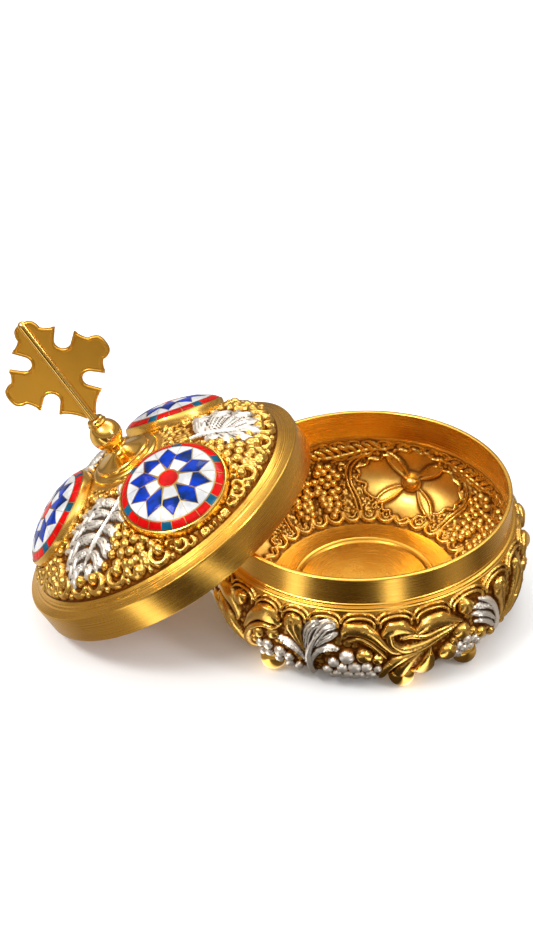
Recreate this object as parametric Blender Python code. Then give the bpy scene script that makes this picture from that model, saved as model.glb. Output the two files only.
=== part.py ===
"""Incense box of gilt brass: a footed, hollow bowl with a relief frieze, and its
domed lid, which carries enamel medallions and a finial with a cross plate. The
lid leans beside the bowl: its lower edge stands on the ground and lies on the
bowl's rim. Metres, +Z up, the ground at Z = 0. The pieces are modelled with the
bowl's axis on X = Y = 0 and moved at the end to centre the whole object there.
"""
import math

import bmesh
import bpy
from mathutils import Matrix, Vector

# Fits
FIT_GAP = 0.0003            # between pieces that touch
SEAT_GAP = 0.0003           # between the leaning lid and the rim

# Bowl, depths measured down from the rim
RIM_HEIGHT = 0.0435         # rim above the ground
COLLAR_RADIUS = 0.0500
COLLAR_HEIGHT = 0.0100
COLLAR_WALL = 0.0016
LIP_ROUND = 0.0004
STEP_OUT = 0.0012           # bead below the collar
STEP_HEIGHT = 0.0008
SHOULDER_RADIUS = 0.0527
SHOULDER_HEIGHT = 0.0038    # plain band below the step
BELLY_RADIUS = 0.0534
BELLY_DEPTH = 0.0215
BASE_RADIUS = 0.0390
BASE_DEPTH = 0.0415
BODY_ROUND = 2.60           # exponent of the outer curve
WALL = 0.0022
FLOOR_DEPTH = 0.0398
FLOOR_RADIUS = 0.0258       # where the inner curve meets the floor
INNER_ROUND = 2.05          # exponent of the inner curve
RING_RADIUS = 0.0245        # raised ring on the floor
RING_WIDTH = 0.0018
RING_HEIGHT = 0.0007

# Carving of the bowl
SCALLOPS = 28
COLUMNS_PER_SCALLOP = 4
SCALLOP_DEPTH = 0.0150      # top of the arches
SCALLOP_RISE = 0.0022       # from cusp to crown
LOBE_LENGTH = 0.0062
LOBE_HEIGHT = 0.0019
FRIEZE_REPEATS = 6
FRIEZE_TURN = -106.0        # degrees, the first leaf
INNER_REPEATS = 4
INNER_TURN = 67.0           # degrees, the first flower inside

# Feet
FOOT_RADIUS = 0.0043
FOOT_CIRCLE = 0.0492
FOOT_TURNS = (-128.0, -77.0, -50.0, 52.0, 103.0, 130.0)
FOOT_FLAT = 0.0008          # radius of the flat spot underneath
FOOT_SIDES = 10
FOOT_RINGS = 6

# Lid, heights measured up from its lower edge
LID_RADIUS = 0.0545
BAND_HEIGHT = 0.0102
BAND_WALL = 0.0013
LEDGE_RADIUS = 0.0514
LEDGE_RISE = 0.0010
RING_STEP = 0.0007
BORDER_RADIUS = 0.0492
BORDER_RISE = 0.0010
DOME_RISE = 0.0175          # from the border to the finial's seat
SEAT_RADIUS = 0.0134        # flat seat of the finial
LID_WALL = 0.0016
LID_COLUMNS = 68
BORDER_SCROLLS = 36
BORDER_HEIGHT = 0.0011
LID_REPEATS = 3
MEDALLION_TURN = 12.0       # degrees, in the lid's own frame

# How the lid leans
REST_SIDE = 0.0382          # half the distance between its two points on the rim
LEAN_TURN = 175.5           # degrees, from the bowl's axis to the lid

# Medallions
MEDALLION_RADIUS = 0.0183
MEDALLION_PLACE = 0.0312    # centre from the lid's axis
MEDALLION_EDGE = 0.0014
MEDALLION_RISE = 0.0068
MEDALLION_SIDES = 20
MEDALLION_RINGS = 3
MEDALLION_CLEAR = 0.0031    # plain ground kept round each medallion

# Finial
FOOT_RING_RADIUS = 0.0128
FOOT_RING_HEIGHT = 0.0017
DISC_RADIUS = 0.0100
DISC_HEIGHT = 0.0014
STEM_RADIUS = 0.0031
STEM_HEIGHT = 0.0033
NECK_RADIUS = 0.0042
NECK_HEIGHT = 0.0011
BALL_RADIUS = 0.0055
SOCKET_RADIUS = 0.0029
SOCKET_HEIGHT = 0.0026
FINIAL_SIDES = 16

# Cross
ARM_LENGTH = 0.0196
PLATE_THICKNESS = 0.0014
ROD_RADIUS = 0.0016
ROD_SIDES = 10
CROSS_TURN = 8.0            # degrees, in the lid's own frame
CUSP_OUT = 0.66             # shares of the arm's length
CUSP_SIDE = 0.44
DIP_OUT = 0.79
DIP_SIDE = 0.22
LOBE_SIDE = 0.17
NOTCH_CENTRE = 0.40
NOTCH_RADIUS = 0.140

SHOULDER_DEPTH = COLLAR_HEIGHT + STEP_HEIGHT + SHOULDER_HEIGHT
BORDER_Z = BAND_HEIGHT + LEDGE_RISE + RING_STEP + BORDER_RISE
SEAT_Z = BORDER_Z + DOME_RISE

# Main forms of the carving: place across the repeat in degrees, depth or
# radius of the centre, half width and half length along the surface, lean in
# degrees, and height
FRIEZE_FORMS = (
    (0.0, 0.0270, 0.0040, 0.0080, 0.0, 0.0020),
    (12.0, 0.0330, 0.0058, 0.0046, 10.0, 0.0021),
    (-15.0, 0.0320, 0.0056, 0.0044, -20.0, 0.0021),
    (24.0, 0.0262, 0.0066, 0.0024, -28.0, 0.0018),
    (31.0, 0.0312, 0.0062, 0.0026, 24.0, 0.0017),
)
INNER_FORMS = (
    (0.0, 0.0215, 0.0085, 0.0080, 0.0, 0.0012),
    (41.0, 0.0235, 0.0066, 0.0078, 8.0, 0.0014),
    (-41.0, 0.0235, 0.0066, 0.0078, -8.0, 0.0014),
    (24.0, 0.0150, 0.0090, 0.0022, 10.0, 0.0010),
    (-24.0, 0.0150, 0.0090, 0.0022, -10.0, 0.0010),
)
LID_FORMS = (
    (0.0, 0.0330, 0.0058, 0.0145, 0.0, 0.0016),
    (19.0, 0.0415, 0.0066, 0.0058, 0.0, 0.0014),
    (-19.0, 0.0415, 0.0066, 0.0058, 0.0, 0.0014),
)


def make_material(name, colour, roughness, metallic):
    """Principled material with the piece's colour, roughness and metal value."""
    material = bpy.data.materials.new(name)
    material.use_nodes = True
    shader = material.node_tree.nodes["Principled BSDF"]
    shader.inputs["Base Color"].default_value = (*colour, 1.0)
    shader.inputs["Roughness"].default_value = roughness
    shader.inputs["Metallic"].default_value = metallic
    return material


def add_object(name, mesh, material, sharp_angle=35.0):
    """Link a mesh as a named, smooth-shaded object."""
    mesh.materials.append(material)
    mesh.shade_smooth()
    mesh.set_sharp_from_angle(angle=math.radians(sharp_angle))
    piece = bpy.data.objects.new(name, mesh)
    bpy.context.scene.collection.objects.link(piece)
    return piece


def loft_mesh(name, rows):
    """Closed mesh through rows of points, each row a ring, with a fan at both ends."""
    bm = bmesh.new()
    rings = [[bm.verts.new(point) for point in row] for row in rows]
    for lower, upper in zip(rings, rings[1:]):
        count = len(lower)
        for i in range(count):
            j = (i + 1) % count
            bm.faces.new((lower[i], lower[j], upper[j], upper[i]))
    for ring, forward in ((rings[0], False), (rings[-1], True)):
        middle = sum((vert.co for vert in ring), Vector()) / len(ring)
        centre = bm.verts.new(middle)
        for i in range(len(ring)):
            j = (i + 1) % len(ring)
            pair = (ring[i], ring[j]) if forward else (ring[j], ring[i])
            bm.faces.new((*pair, centre))
    bmesh.ops.recalc_face_normals(bm, faces=bm.faces)
    mesh = bpy.data.meshes.new(name)
    bm.to_mesh(mesh)
    bm.free()
    return mesh


def ring_of(radius, height, sides):
    """Level ring of points."""
    turns = [math.tau * i / sides for i in range(sides)]
    return [Vector((radius * math.cos(t), radius * math.sin(t), height)) for t in turns]


def turned_mesh(name, profile, sides):
    """Solid turned from a profile of (radius, height) pairs."""
    return loft_mesh(name, [ring_of(radius, height, sides) for radius, height in profile])


def profile_normals(profile):
    """Unit normals of a profile, to the right of its run."""
    normals = []
    last = len(profile) - 1
    for i in range(len(profile)):
        before = profile[max(i - 1, 0)]
        after = profile[min(i + 1, last)]
        run = Vector((after[0] - before[0], after[1] - before[1])).normalized()
        normals.append((run.y, -run.x))
    return normals


def bump(across, along, half_width, half_length, lean):
    """Smooth oval bump from 0 to 1, leaning by an angle in degrees."""
    turn = math.radians(lean)
    x = (across * math.cos(turn) + along * math.sin(turn)) / half_width
    y = (along * math.cos(turn) - across * math.sin(turn)) / half_length
    return max(0.0, 1.0 - x * x - y * y) ** 0.5


def repeat_offset(angle, repeats, first):
    """Angle from the middle of the nearest repeat, in degrees."""
    period = 360.0 / repeats
    return (math.degrees(angle) - first + period / 2) % period - period / 2


def forms_relief(forms, angle, place, repeats, first, radius):
    """Height of the highest of the carved forms at a place on the surface."""
    height = 0.0
    for turn, centre, half_width, half_length, lean, rise in forms:
        offset = repeat_offset(angle, repeats, first + turn)
        across = math.radians(offset) * radius
        height = max(height, rise * bump(across, place - centre, half_width, half_length, lean))
    return height


def scallop_relief(angle, depth):
    """Arches with a swelling lobe under each, below the plain shoulder."""
    share = (math.degrees(angle) - FRIEZE_TURN) / 360.0 * SCALLOPS
    wave = math.cos(math.pi * (share - round(share)))
    crown = SCALLOP_DEPTH + SCALLOP_RISE * (1.0 - wave)
    along = (depth - crown) / LOBE_LENGTH
    if not 0.0 <= along <= 1.0:
        return 0.0
    return LOBE_HEIGHT * wave * math.sin(math.pi * along) ** 0.5


def outer_relief(angle, depth):
    """Carving of the bowl's outside, outward from the plain ground."""
    forms = forms_relief(FRIEZE_FORMS, angle, depth, FRIEZE_REPEATS, FRIEZE_TURN, BELLY_RADIUS)
    return max(scallop_relief(angle, depth), forms)


def inner_relief(angle, depth):
    """Carving of the bowl's inside, inward from the plain ground."""
    radius = BELLY_RADIUS - WALL
    return forms_relief(INNER_FORMS, angle, depth, INNER_REPEATS, INNER_TURN, radius)


def super_curve(outer, inner, top, bottom, power, steps):
    """Quarter of a superellipse from (outer, top) down to (inner, bottom)."""
    points = []
    for i in range(steps + 1):
        turn = math.pi / 2 * i / steps
        out = max(math.cos(turn), 0.0) ** (2.0 / power)
        down = math.sin(turn) ** (2.0 / power)
        points.append((inner + (outer - inner) * out, top + (bottom - top) * down))
    return points


def outer_profile():
    """Plain outside of the bowl from the underside up, as radius and depth."""
    curve = super_curve(BELLY_RADIUS, BASE_RADIUS, BELLY_DEPTH, BASE_DEPTH, BODY_ROUND, 7)
    swell = SCALLOP_DEPTH + LOBE_LENGTH * 0.45
    middle = (SHOULDER_RADIUS + BELLY_RADIUS) / 2
    step_radius = COLLAR_RADIUS + STEP_OUT
    return curve[::-1] + [
        (BELLY_RADIUS, swell),
        (middle, SCALLOP_DEPTH),
        (SHOULDER_RADIUS, SHOULDER_DEPTH),
        (step_radius, COLLAR_HEIGHT + STEP_HEIGHT),
        (step_radius, COLLAR_HEIGHT),
        (COLLAR_RADIUS, COLLAR_HEIGHT),
        (COLLAR_RADIUS, LIP_ROUND),
    ]


def inner_profile():
    """Plain inside of the bowl from the lip down to the floor, as radius and depth."""
    inside = COLLAR_RADIUS - COLLAR_WALL
    curve = super_curve(BELLY_RADIUS - WALL, FLOOR_RADIUS, BELLY_DEPTH, FLOOR_DEPTH, INNER_ROUND, 5)
    half = RING_WIDTH / 2
    ring_depth = FLOOR_DEPTH - RING_HEIGHT
    return [
        (COLLAR_RADIUS - LIP_ROUND, 0.0),
        (inside, LIP_ROUND),
        (inside, COLLAR_HEIGHT),
        (SHOULDER_RADIUS - WALL, SHOULDER_DEPTH),
        (BELLY_RADIUS - WALL, SCALLOP_DEPTH + SCALLOP_RISE),
    ] + curve + [
        (RING_RADIUS, ring_depth),
        (RING_RADIUS - half, ring_depth),
        (RING_RADIUS - RING_WIDTH, FLOOR_DEPTH),
    ]


def carved_rows(profile, relief, grow):
    """Rings along a profile of radius and depth, moved out along its normals by
    the carving and by an even growth."""
    normals = profile_normals([(radius, -depth) for radius, depth in profile])
    sides = SCALLOPS * COLUMNS_PER_SCALLOP
    rows = []
    for (radius, depth), (out, up) in zip(profile, normals):
        row = []
        for i in range(sides):
            angle = math.radians(FRIEZE_TURN) + math.tau * i / sides
            move = relief(angle, depth) + grow
            reach = radius + out * move
            height = RIM_HEIGHT - depth + up * move
            row.append(Vector((reach * math.cos(angle), reach * math.sin(angle), height)))
        rows.append(row)
    return rows


def build_bowl(material):
    """Hollow bowl with collar, carved body and floor ring."""
    outside = carved_rows(outer_profile(), outer_relief, 0.0)
    inside = carved_rows(inner_profile(), inner_relief, 0.0)
    return add_object("bowl", loft_mesh("bowl", outside + inside), material)


def build_feet(material):
    """Ball feet, cut to the curve of the bowl's underside."""
    cutter_mesh = loft_mesh("foot_cutter", carved_rows(outer_profile(), outer_relief, FIT_GAP))
    cutter = bpy.data.objects.new("foot_cutter", cutter_mesh)
    cutter.hide_render = True
    cutter.display_type = "WIRE"
    bpy.context.scene.collection.objects.link(cutter)
    start = math.asin(FOOT_FLAT / FOOT_RADIUS)
    drop = FOOT_RADIUS * math.cos(start)
    profile = []
    for i in range(FOOT_RINGS):
        turn = start + (math.pi - 2.0 * start) * i / (FOOT_RINGS - 1)
        profile.append((FOOT_RADIUS * math.sin(turn), drop - FOOT_RADIUS * math.cos(turn)))
    for number, turn in enumerate(FOOT_TURNS, start=1):
        mesh = turned_mesh(f"foot_{number}", profile, FOOT_SIDES)
        foot = add_object(f"foot_{number}", mesh, material)
        angle = math.radians(turn)
        foot.location = (FOOT_CIRCLE * math.cos(angle), FOOT_CIRCLE * math.sin(angle), 0.0)
        cut = foot.modifiers.new("seat", "BOOLEAN")
        cut.operation = "DIFFERENCE"
        cut.solver = "EXACT"
        cut.object = cutter


def lean_matrix():
    """Place of the lid: its outer lower edge meets the ground at one point, and
    its inner lower edge lies on the rim at two points."""
    turn = math.radians(LEAN_TURN)
    inner = LID_RADIUS - BAND_WALL
    along = math.sqrt(inner ** 2 - REST_SIDE ** 2)
    lean = math.asin((RIM_HEIGHT + SEAT_GAP) / (LID_RADIUS + along))
    away = along * math.cos(lean) + math.sqrt(COLLAR_RADIUS ** 2 - REST_SIDE ** 2)
    height = LID_RADIUS * math.sin(lean)
    place = Vector((away * math.cos(turn), away * math.sin(turn), height))
    return (Matrix.Translation(place) @ Matrix.Rotation(turn, 4, "Z")
            @ Matrix.Rotation(lean, 4, "Y"))


def dome_sphere():
    """Radius and centre height of the sphere through the border and the seat."""
    chord = BORDER_RADIUS ** 2 - SEAT_RADIUS ** 2
    centre = (SEAT_Z ** 2 - BORDER_Z ** 2 - chord) / (2.0 * (SEAT_Z - BORDER_Z))
    return math.hypot(SEAT_RADIUS, SEAT_Z - centre), centre


def dome_height(radius, inset=0.0):
    """Height of the dome's plain ground at a distance from the lid's axis."""
    sphere, centre = dome_sphere()
    return centre + math.sqrt((sphere - inset) ** 2 - radius ** 2)


def medallion_distance(angle, radius):
    """Distance in plan from the nearest medallion's centre."""
    offset = math.radians(repeat_offset(angle, LID_REPEATS, MEDALLION_TURN))
    x = radius * math.cos(offset) - MEDALLION_PLACE
    return math.hypot(x, radius * math.sin(offset))


def lid_relief(angle, radius):
    """Carving of the dome, none under the medallions or the finial."""
    if medallion_distance(angle, radius) < MEDALLION_RADIUS + MEDALLION_CLEAR:
        return 0.0
    first = MEDALLION_TURN + 180.0 / LID_REPEATS
    height = forms_relief(LID_FORMS, angle, radius, LID_REPEATS, first, radius)
    edge = (BORDER_RADIUS - radius) / (BORDER_RADIUS - SEAT_RADIUS)
    scroll = 0.6 + 0.4 * math.cos(angle * BORDER_SCROLLS)
    border = BORDER_HEIGHT * scroll * math.exp(-((edge - 0.09) / 0.06) ** 2)
    return max(height, border)


def lid_rows():
    """Rings of the lid from its lower outer edge over the dome and back inside."""
    rows = []
    ledge_z = BAND_HEIGHT + LEDGE_RISE
    outside = [(LID_RADIUS, 0.0), (LID_RADIUS, BAND_HEIGHT), (LEDGE_RADIUS, ledge_z),
               (LEDGE_RADIUS, ledge_z + RING_STEP), (BORDER_RADIUS, BORDER_Z)]
    for radius, height in outside:
        rows.append(ring_of(radius, height, LID_COLUMNS))
    sphere, centre = dome_sphere()
    steps = 7
    for k in range(1, steps):
        radius = BORDER_RADIUS + (SEAT_RADIUS - BORDER_RADIUS) * k / steps
        row = []
        for i in range(LID_COLUMNS):
            angle = math.tau * i / LID_COLUMNS
            reach = (sphere + lid_relief(angle, radius)) / sphere
            height = centre + (dome_height(radius) - centre) * reach
            row.append(Vector((radius * reach * math.cos(angle),
                               radius * reach * math.sin(angle), height)))
        rows.append(row)
    rows.append(ring_of(SEAT_RADIUS, SEAT_Z, LID_COLUMNS))
    inner = LID_RADIUS - BAND_WALL
    roof = BAND_HEIGHT - LID_WALL
    inside = [(inner, 0.0), (inner, roof), (BORDER_RADIUS - LID_WALL, roof + LID_WALL)]
    for k in range(1, 5):
        radius = (BORDER_RADIUS - LID_WALL) * (1.0 - k / 5)
        inside.append((radius, dome_height(radius, LID_WALL)))
    top = SEAT_Z - LID_WALL
    inside = [(radius, min(height, top)) for radius, height in inside]
    return [ring_of(radius, height, LID_COLUMNS) for radius, height in inside[::-1]] + rows


def build_lid(material, place):
    """Hollow lid: band, ledge, stepped ring and carved dome with a flat seat."""
    lid = add_object("lid", loft_mesh("lid", lid_rows()), material)
    lid.matrix_world = place
    return lid


def medallion_place(number):
    """Frame of a medallion: on the dome's ground, its Z along the dome's normal."""
    sphere, centre = dome_sphere()
    turn = math.radians(MEDALLION_TURN + 360.0 * number / LID_REPEATS)
    slope = math.asin(MEDALLION_PLACE / sphere)
    return (Matrix.Translation((0.0, 0.0, centre)) @ Matrix.Rotation(turn, 4, "Z")
            @ Matrix.Rotation(slope, 4, "Y") @ Matrix.Translation((0.0, 0.0, sphere)))


def build_medallions(material, place):
    """Convex enamel discs, hollowed behind to the curve of the dome."""
    sphere, _ = dome_sphere()
    low = math.sqrt(sphere ** 2 - MEDALLION_RADIUS ** 2) - sphere + FIT_GAP
    top = low + MEDALLION_EDGE
    profile = []
    for k in range(1, MEDALLION_RINGS):
        radius = MEDALLION_RADIUS * k / MEDALLION_RINGS
        profile.append((radius, math.sqrt(sphere ** 2 - radius ** 2) - sphere + FIT_GAP))
    profile.append((MEDALLION_RADIUS, low))
    profile.append((MEDALLION_RADIUS, top))
    for k in range(1, MEDALLION_RINGS + 1):
        turn = math.pi / 2 * k / (MEDALLION_RINGS + 1)
        profile.append((MEDALLION_RADIUS * math.cos(turn),
                        top + MEDALLION_RISE * math.sin(turn)))
    for number in range(LID_REPEATS):
        name = f"medallion_{number + 1}"
        piece = add_object(name, turned_mesh(name, profile, MEDALLION_SIDES), material)
        piece.matrix_world = place @ medallion_place(number)


def finial_profile():
    """Turned finial from its seat up: foot ring, disc, stem, neck, ball and socket."""
    disc_z = FOOT_RING_HEIGHT + DISC_HEIGHT
    stem_z = disc_z + STEM_HEIGHT
    neck_z = stem_z + NECK_HEIGHT
    cut = math.asin(STEM_RADIUS / BALL_RADIUS)
    ball_z = neck_z + BALL_RADIUS * math.cos(cut)
    profile = [(FOOT_RING_RADIUS, 0.0), (FOOT_RING_RADIUS, FOOT_RING_HEIGHT * 0.7),
               (FOOT_RING_RADIUS * 0.93, FOOT_RING_HEIGHT), (DISC_RADIUS, FOOT_RING_HEIGHT),
               (DISC_RADIUS, disc_z)]
    for k in range(1, 4):
        share = k / 3
        width = STEM_RADIUS + (DISC_RADIUS * 0.9 - STEM_RADIUS) * (1.0 - share) ** 2.2
        profile.append((width, disc_z + STEM_HEIGHT * share))
    profile.append((NECK_RADIUS, stem_z + NECK_HEIGHT / 2))
    for k in range(6):
        turn = cut + (math.pi - cut - math.asin(SOCKET_RADIUS / BALL_RADIUS)) * k / 5
        profile.append((BALL_RADIUS * math.sin(turn), ball_z - BALL_RADIUS * math.cos(turn)))
    profile.append((SOCKET_RADIUS, finial_height()))
    return profile


def finial_height():
    """Height of the finial above its seat, up to the socket's mouth."""
    cut = math.asin(STEM_RADIUS / BALL_RADIUS)
    foot = FOOT_RING_HEIGHT + DISC_HEIGHT + STEM_HEIGHT + NECK_HEIGHT
    return foot + BALL_RADIUS * (1.0 + math.cos(cut)) + SOCKET_HEIGHT - BALL_RADIUS * 0.15


def build_finial(material, place):
    """Turned finial on the lid's seat."""
    mesh = turned_mesh("finial", finial_profile(), FINIAL_SIDES)
    piece = add_object("finial", mesh, material)
    piece.matrix_world = place @ Matrix.Translation((0.0, 0.0, SEAT_Z + FIT_GAP))


def curve_points(start, control, end, steps):
    """Points of a quadratic curve, without its end."""
    points = []
    for k in range(steps):
        t = k / steps
        points.append(start * (1 - t) ** 2 + control * (2 * t * (1 - t)) + end * t * t)
    return points


def arm_outline(lobed):
    """Outline of one arm, pointing along +X, as shares of the arm's length."""
    cusp = Vector((CUSP_OUT, -CUSP_SIDE))
    upper_cusp = Vector((CUSP_OUT, CUSP_SIDE))
    tip = Vector((1.0, 0.0))
    points = []
    if lobed:
        dip = Vector((DIP_OUT, -DIP_SIDE))
        shoulder = Vector((0.95, -LOBE_SIDE))
        points += curve_points(cusp, Vector((CUSP_OUT + 0.06, -DIP_SIDE - 0.06)), dip, 3)
        points += curve_points(dip, Vector((0.86, -LOBE_SIDE - 0.06)), shoulder, 3)
        points += curve_points(shoulder, Vector((1.0, -0.12)), tip, 2)
    else:
        foot = Vector((1.0, -ROD_RADIUS / ARM_LENGTH))
        points += curve_points(cusp, Vector((0.78, -0.20)), foot, 4)
    upper = [Vector((p.x, -p.y)) for p in reversed(points[1:])]
    points.append(tip)
    points += upper
    points.append(upper_cusp)
    centre = Vector((NOTCH_CENTRE, NOTCH_CENTRE))
    for k in range(5):
        turn = math.radians(-45.0 - 45.0 * k)
        points.append(centre + NOTCH_RADIUS * Vector((math.cos(turn), math.sin(turn))))
    return points


def cross_outline():
    """Whole outline of the plate, its lower arm plain and the others lobed."""
    points = []
    for k in range(4):
        turn = Matrix.Rotation(math.radians(90.0 * k), 2)
        points += [turn @ p for p in arm_outline(lobed=k != 3)]
    return [p * ARM_LENGTH for p in points]


def build_cross(material, place):
    """Plate with a round rod up its middle, standing on the finial's socket."""
    base = SEAT_Z + finial_height() + FIT_GAP * 2
    bm = bmesh.new()
    half = PLATE_THICKNESS / 2
    front = [bm.verts.new((p.x, -half, p.y)) for p in cross_outline()]
    face = bm.faces.new(front)
    grown = bmesh.ops.extrude_face_region(bm, geom=[face])
    moved = [item for item in grown["geom"] if isinstance(item, bmesh.types.BMVert)]
    bmesh.ops.translate(bm, verts=moved, vec=(0.0, PLATE_THICKNESS, 0.0))
    bmesh.ops.recalc_face_normals(bm, faces=bm.faces)
    mesh = bpy.data.meshes.new("cross")
    bm.to_mesh(mesh)
    bm.free()
    plate = add_object("cross", mesh, material)
    upright = place @ Matrix.Translation((0.0, 0.0, base + ARM_LENGTH))
    plate.matrix_world = upright @ Matrix.Rotation(math.radians(CROSS_TURN), 4, "Z")
    tip = ARM_LENGTH + ROD_RADIUS * 0.4
    profile = [(ROD_RADIUS, -ARM_LENGTH), (ROD_RADIUS, tip - ROD_RADIUS),
               (ROD_RADIUS * 0.7, tip - ROD_RADIUS * 0.3)]
    rod_mesh = turned_mesh("rod", profile, ROD_SIDES)
    rod = bpy.data.objects.new("rod", rod_mesh)
    rod.matrix_world = plate.matrix_world.copy()
    rod.hide_render = True
    rod.display_type = "WIRE"
    bpy.context.scene.collection.objects.link(rod)
    join = plate.modifiers.new("rod", "BOOLEAN")
    join.operation = "UNION"
    join.solver = "EXACT"
    join.object = rod


def centre_over_ground():
    """Move everything level so that the whole object's box is centred on Z."""
    corners = []
    for piece in bpy.data.objects:
        if not piece.hide_render:
            corners += [piece.matrix_world @ vert.co for vert in piece.data.vertices]
    middle_x = (min(p.x for p in corners) + max(p.x for p in corners)) / 2
    middle_y = (min(p.y for p in corners) + max(p.y for p in corners)) / 2
    shift = Matrix.Translation((-middle_x, -middle_y, 0.0))
    for piece in bpy.data.objects:
        piece.matrix_world = shift @ piece.matrix_world


def main():
    for item in list(bpy.data.objects):
        bpy.data.objects.remove(item)
    brass = make_material("gilt_brass", (0.83, 0.56, 0.20), 0.28, 1.0)
    polished = make_material("polished_brass", (0.87, 0.60, 0.22), 0.15, 1.0)
    enamel = make_material("enamel", (0.05, 0.12, 0.62), 0.12, 0.0)
    place = lean_matrix()
    build_bowl(brass)
    build_feet(polished)
    build_lid(brass, place)
    build_medallions(enamel, place)
    build_finial(polished, place)
    build_cross(brass, place)
    bpy.context.view_layer.update()
    centre_over_ground()


main()
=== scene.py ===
import math
import bpy
import numpy as np
from bpy.props import FloatProperty, FloatVectorProperty, PointerProperty
from mathutils import Matrix, Vector
from mathutils.geometry import tessellate_polygon


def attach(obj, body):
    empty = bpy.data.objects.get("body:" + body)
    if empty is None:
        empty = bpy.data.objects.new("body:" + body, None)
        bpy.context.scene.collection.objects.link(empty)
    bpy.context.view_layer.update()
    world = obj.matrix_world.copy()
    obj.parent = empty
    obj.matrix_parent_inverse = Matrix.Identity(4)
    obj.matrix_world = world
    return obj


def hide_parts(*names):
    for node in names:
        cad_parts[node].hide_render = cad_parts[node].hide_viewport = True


bl_info = {
    "name": "Incense box pieces",
    "version": (1, 0, 0),
    "blender": (4, 5, 0),
    "location": "View3D > Sidebar > Incense box",
    "description": "Carved bowl, leaning domed lid with enamel medallions, finial and cross",
    "category": "Object",
}

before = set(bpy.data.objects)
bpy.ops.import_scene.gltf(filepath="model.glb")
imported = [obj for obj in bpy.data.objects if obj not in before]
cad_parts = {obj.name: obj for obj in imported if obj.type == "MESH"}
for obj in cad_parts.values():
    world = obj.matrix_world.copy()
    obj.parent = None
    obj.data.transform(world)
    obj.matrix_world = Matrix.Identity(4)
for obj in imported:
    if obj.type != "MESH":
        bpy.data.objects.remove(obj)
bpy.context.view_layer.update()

# Sizes are in millimetres. MM turns them into metres.
MM = 0.001

# Bowl: radii, walls, and depths down from the rim
BOWL_AXIS = np.array([31.037, -2.352, 0.0])
RIM_Z = 43.5
COLLAR_R = 50.0
COLLAR_WALL = 1.6
STEP_R = 51.2
BASE_R = 39.0
BASE_DEPTH = 41.5
FLOOR_DEPTH = 39.8
BELLY_R = 53.4
WALL = 2.2

# Lid, with heights over its lower edge. The dome is part of a ball of radius DOME_R round a
# point at DOME_Z, and REST_SIDE is half the distance between the lid's two points on the rim.
LID_R = 54.5
LID_BAND_WALL = 1.3
BORDER_R = 49.2
DOME_WALL = 1.6
SEAT_Z = 30.4
DOME_R = 74.0
DOME_Z = -42.4
REST_SIDE = 38.2
LEAN_TURN = math.radians(175.5)

# Medallions, with their distance from the lid's axis, then the feet and the cross's arm
MEDALLION_R = 18.3
MEDALLION_RISE = 6.9
CELL_R = 19.2
MEDALLION_PLACE = 31.2
MEDALLION_TURN = 12.0
FOOT_TURNS = (-128.0, -77.0, -50.0, 52.0, 103.0, 130.0)
FOOT_CIRCLE = 49.2
FOOT_R = 4.3
FOOT_LIFT = 4.22
ARM = 19.6
CROSS_TWIST = math.radians(8.0)

# Steps of rounded corners and of the carved grids, and the angle in degrees beyond which an
# edge of the bowl's carving is sharp
CORNER_STEPS = 5
BODY_COLUMNS = 1200
BODY_ROWS = 128
BACK_ROWS = 7
DOME_COLUMNS = 930
DOME_ROWS = 96
SHARP_CARVING = 72.0


# Placing


def turn_z(angle):
    """Matrix that turns round Z."""
    c, s = math.cos(angle), math.sin(angle)
    return np.array([[c, -s, 0.0], [s, c, 0.0], [0.0, 0.0, 1.0]])


def turn_y(angle):
    """Matrix that turns round Y."""
    c, s = math.cos(angle), math.sin(angle)
    return np.array([[c, 0.0, s], [0.0, 1.0, 0.0], [-s, 0.0, c]])


def turn_x(angle):
    """Matrix that turns round X."""
    c, s = math.cos(angle), math.sin(angle)
    return np.array([[1.0, 0.0, 0.0], [0.0, c, -s], [0.0, s, c]])


def lid_place():
    """Turn and place of the leaning lid: its inner lower edge lies on the rim at two
    points and its outer lower edge meets the ground."""
    inner = LID_R - LID_BAND_WALL
    along = math.sqrt(inner ** 2 - REST_SIDE ** 2)
    lean = math.asin((RIM_Z + 0.3) / (LID_R + along))
    away = along * math.cos(lean) + math.sqrt(COLLAR_R ** 2 - REST_SIDE ** 2)
    place = np.array([away * math.cos(LEAN_TURN), away * math.sin(LEAN_TURN), LID_R * math.sin(lean)])
    return turn_z(LEAN_TURN) @ turn_y(lean), place + BOWL_AXIS


LID_TURN, LID_PLACE = lid_place()


def on_bowl(points):
    """Points round the bowl's own axis, put in the shared frame, in metres."""
    return (points + BOWL_AXIS) * MM


def on_lid(points):
    """Points in the lid's own frame, put in the shared frame, in metres."""
    return (points @ LID_TURN.T + LID_PLACE) * MM


# Meshes


def grid_quads(rows, columns, close_rows=False):
    """Four corners of every cell of a grid that closes on itself across its columns, and
    where asked down its rows too."""
    r = np.arange(rows if close_rows else rows - 1)[:, None]
    c = np.arange(columns)[None, :]
    r2, c2 = (r + 1) % rows, (c + 1) % columns
    corners = [r * columns + c, r * columns + c2, r2 * columns + c2, r2 * columns + c]
    return np.stack(corners, -1).reshape(-1, 4)


def fan_triangles(ring, pole, flip):
    """Triangles from a ring of vertices to one pole."""
    after = np.roll(ring, -1)
    sides = (after, ring) if flip else (ring, after)
    return np.stack([sides[0], sides[1], np.full_like(ring, pole)], -1)


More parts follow.
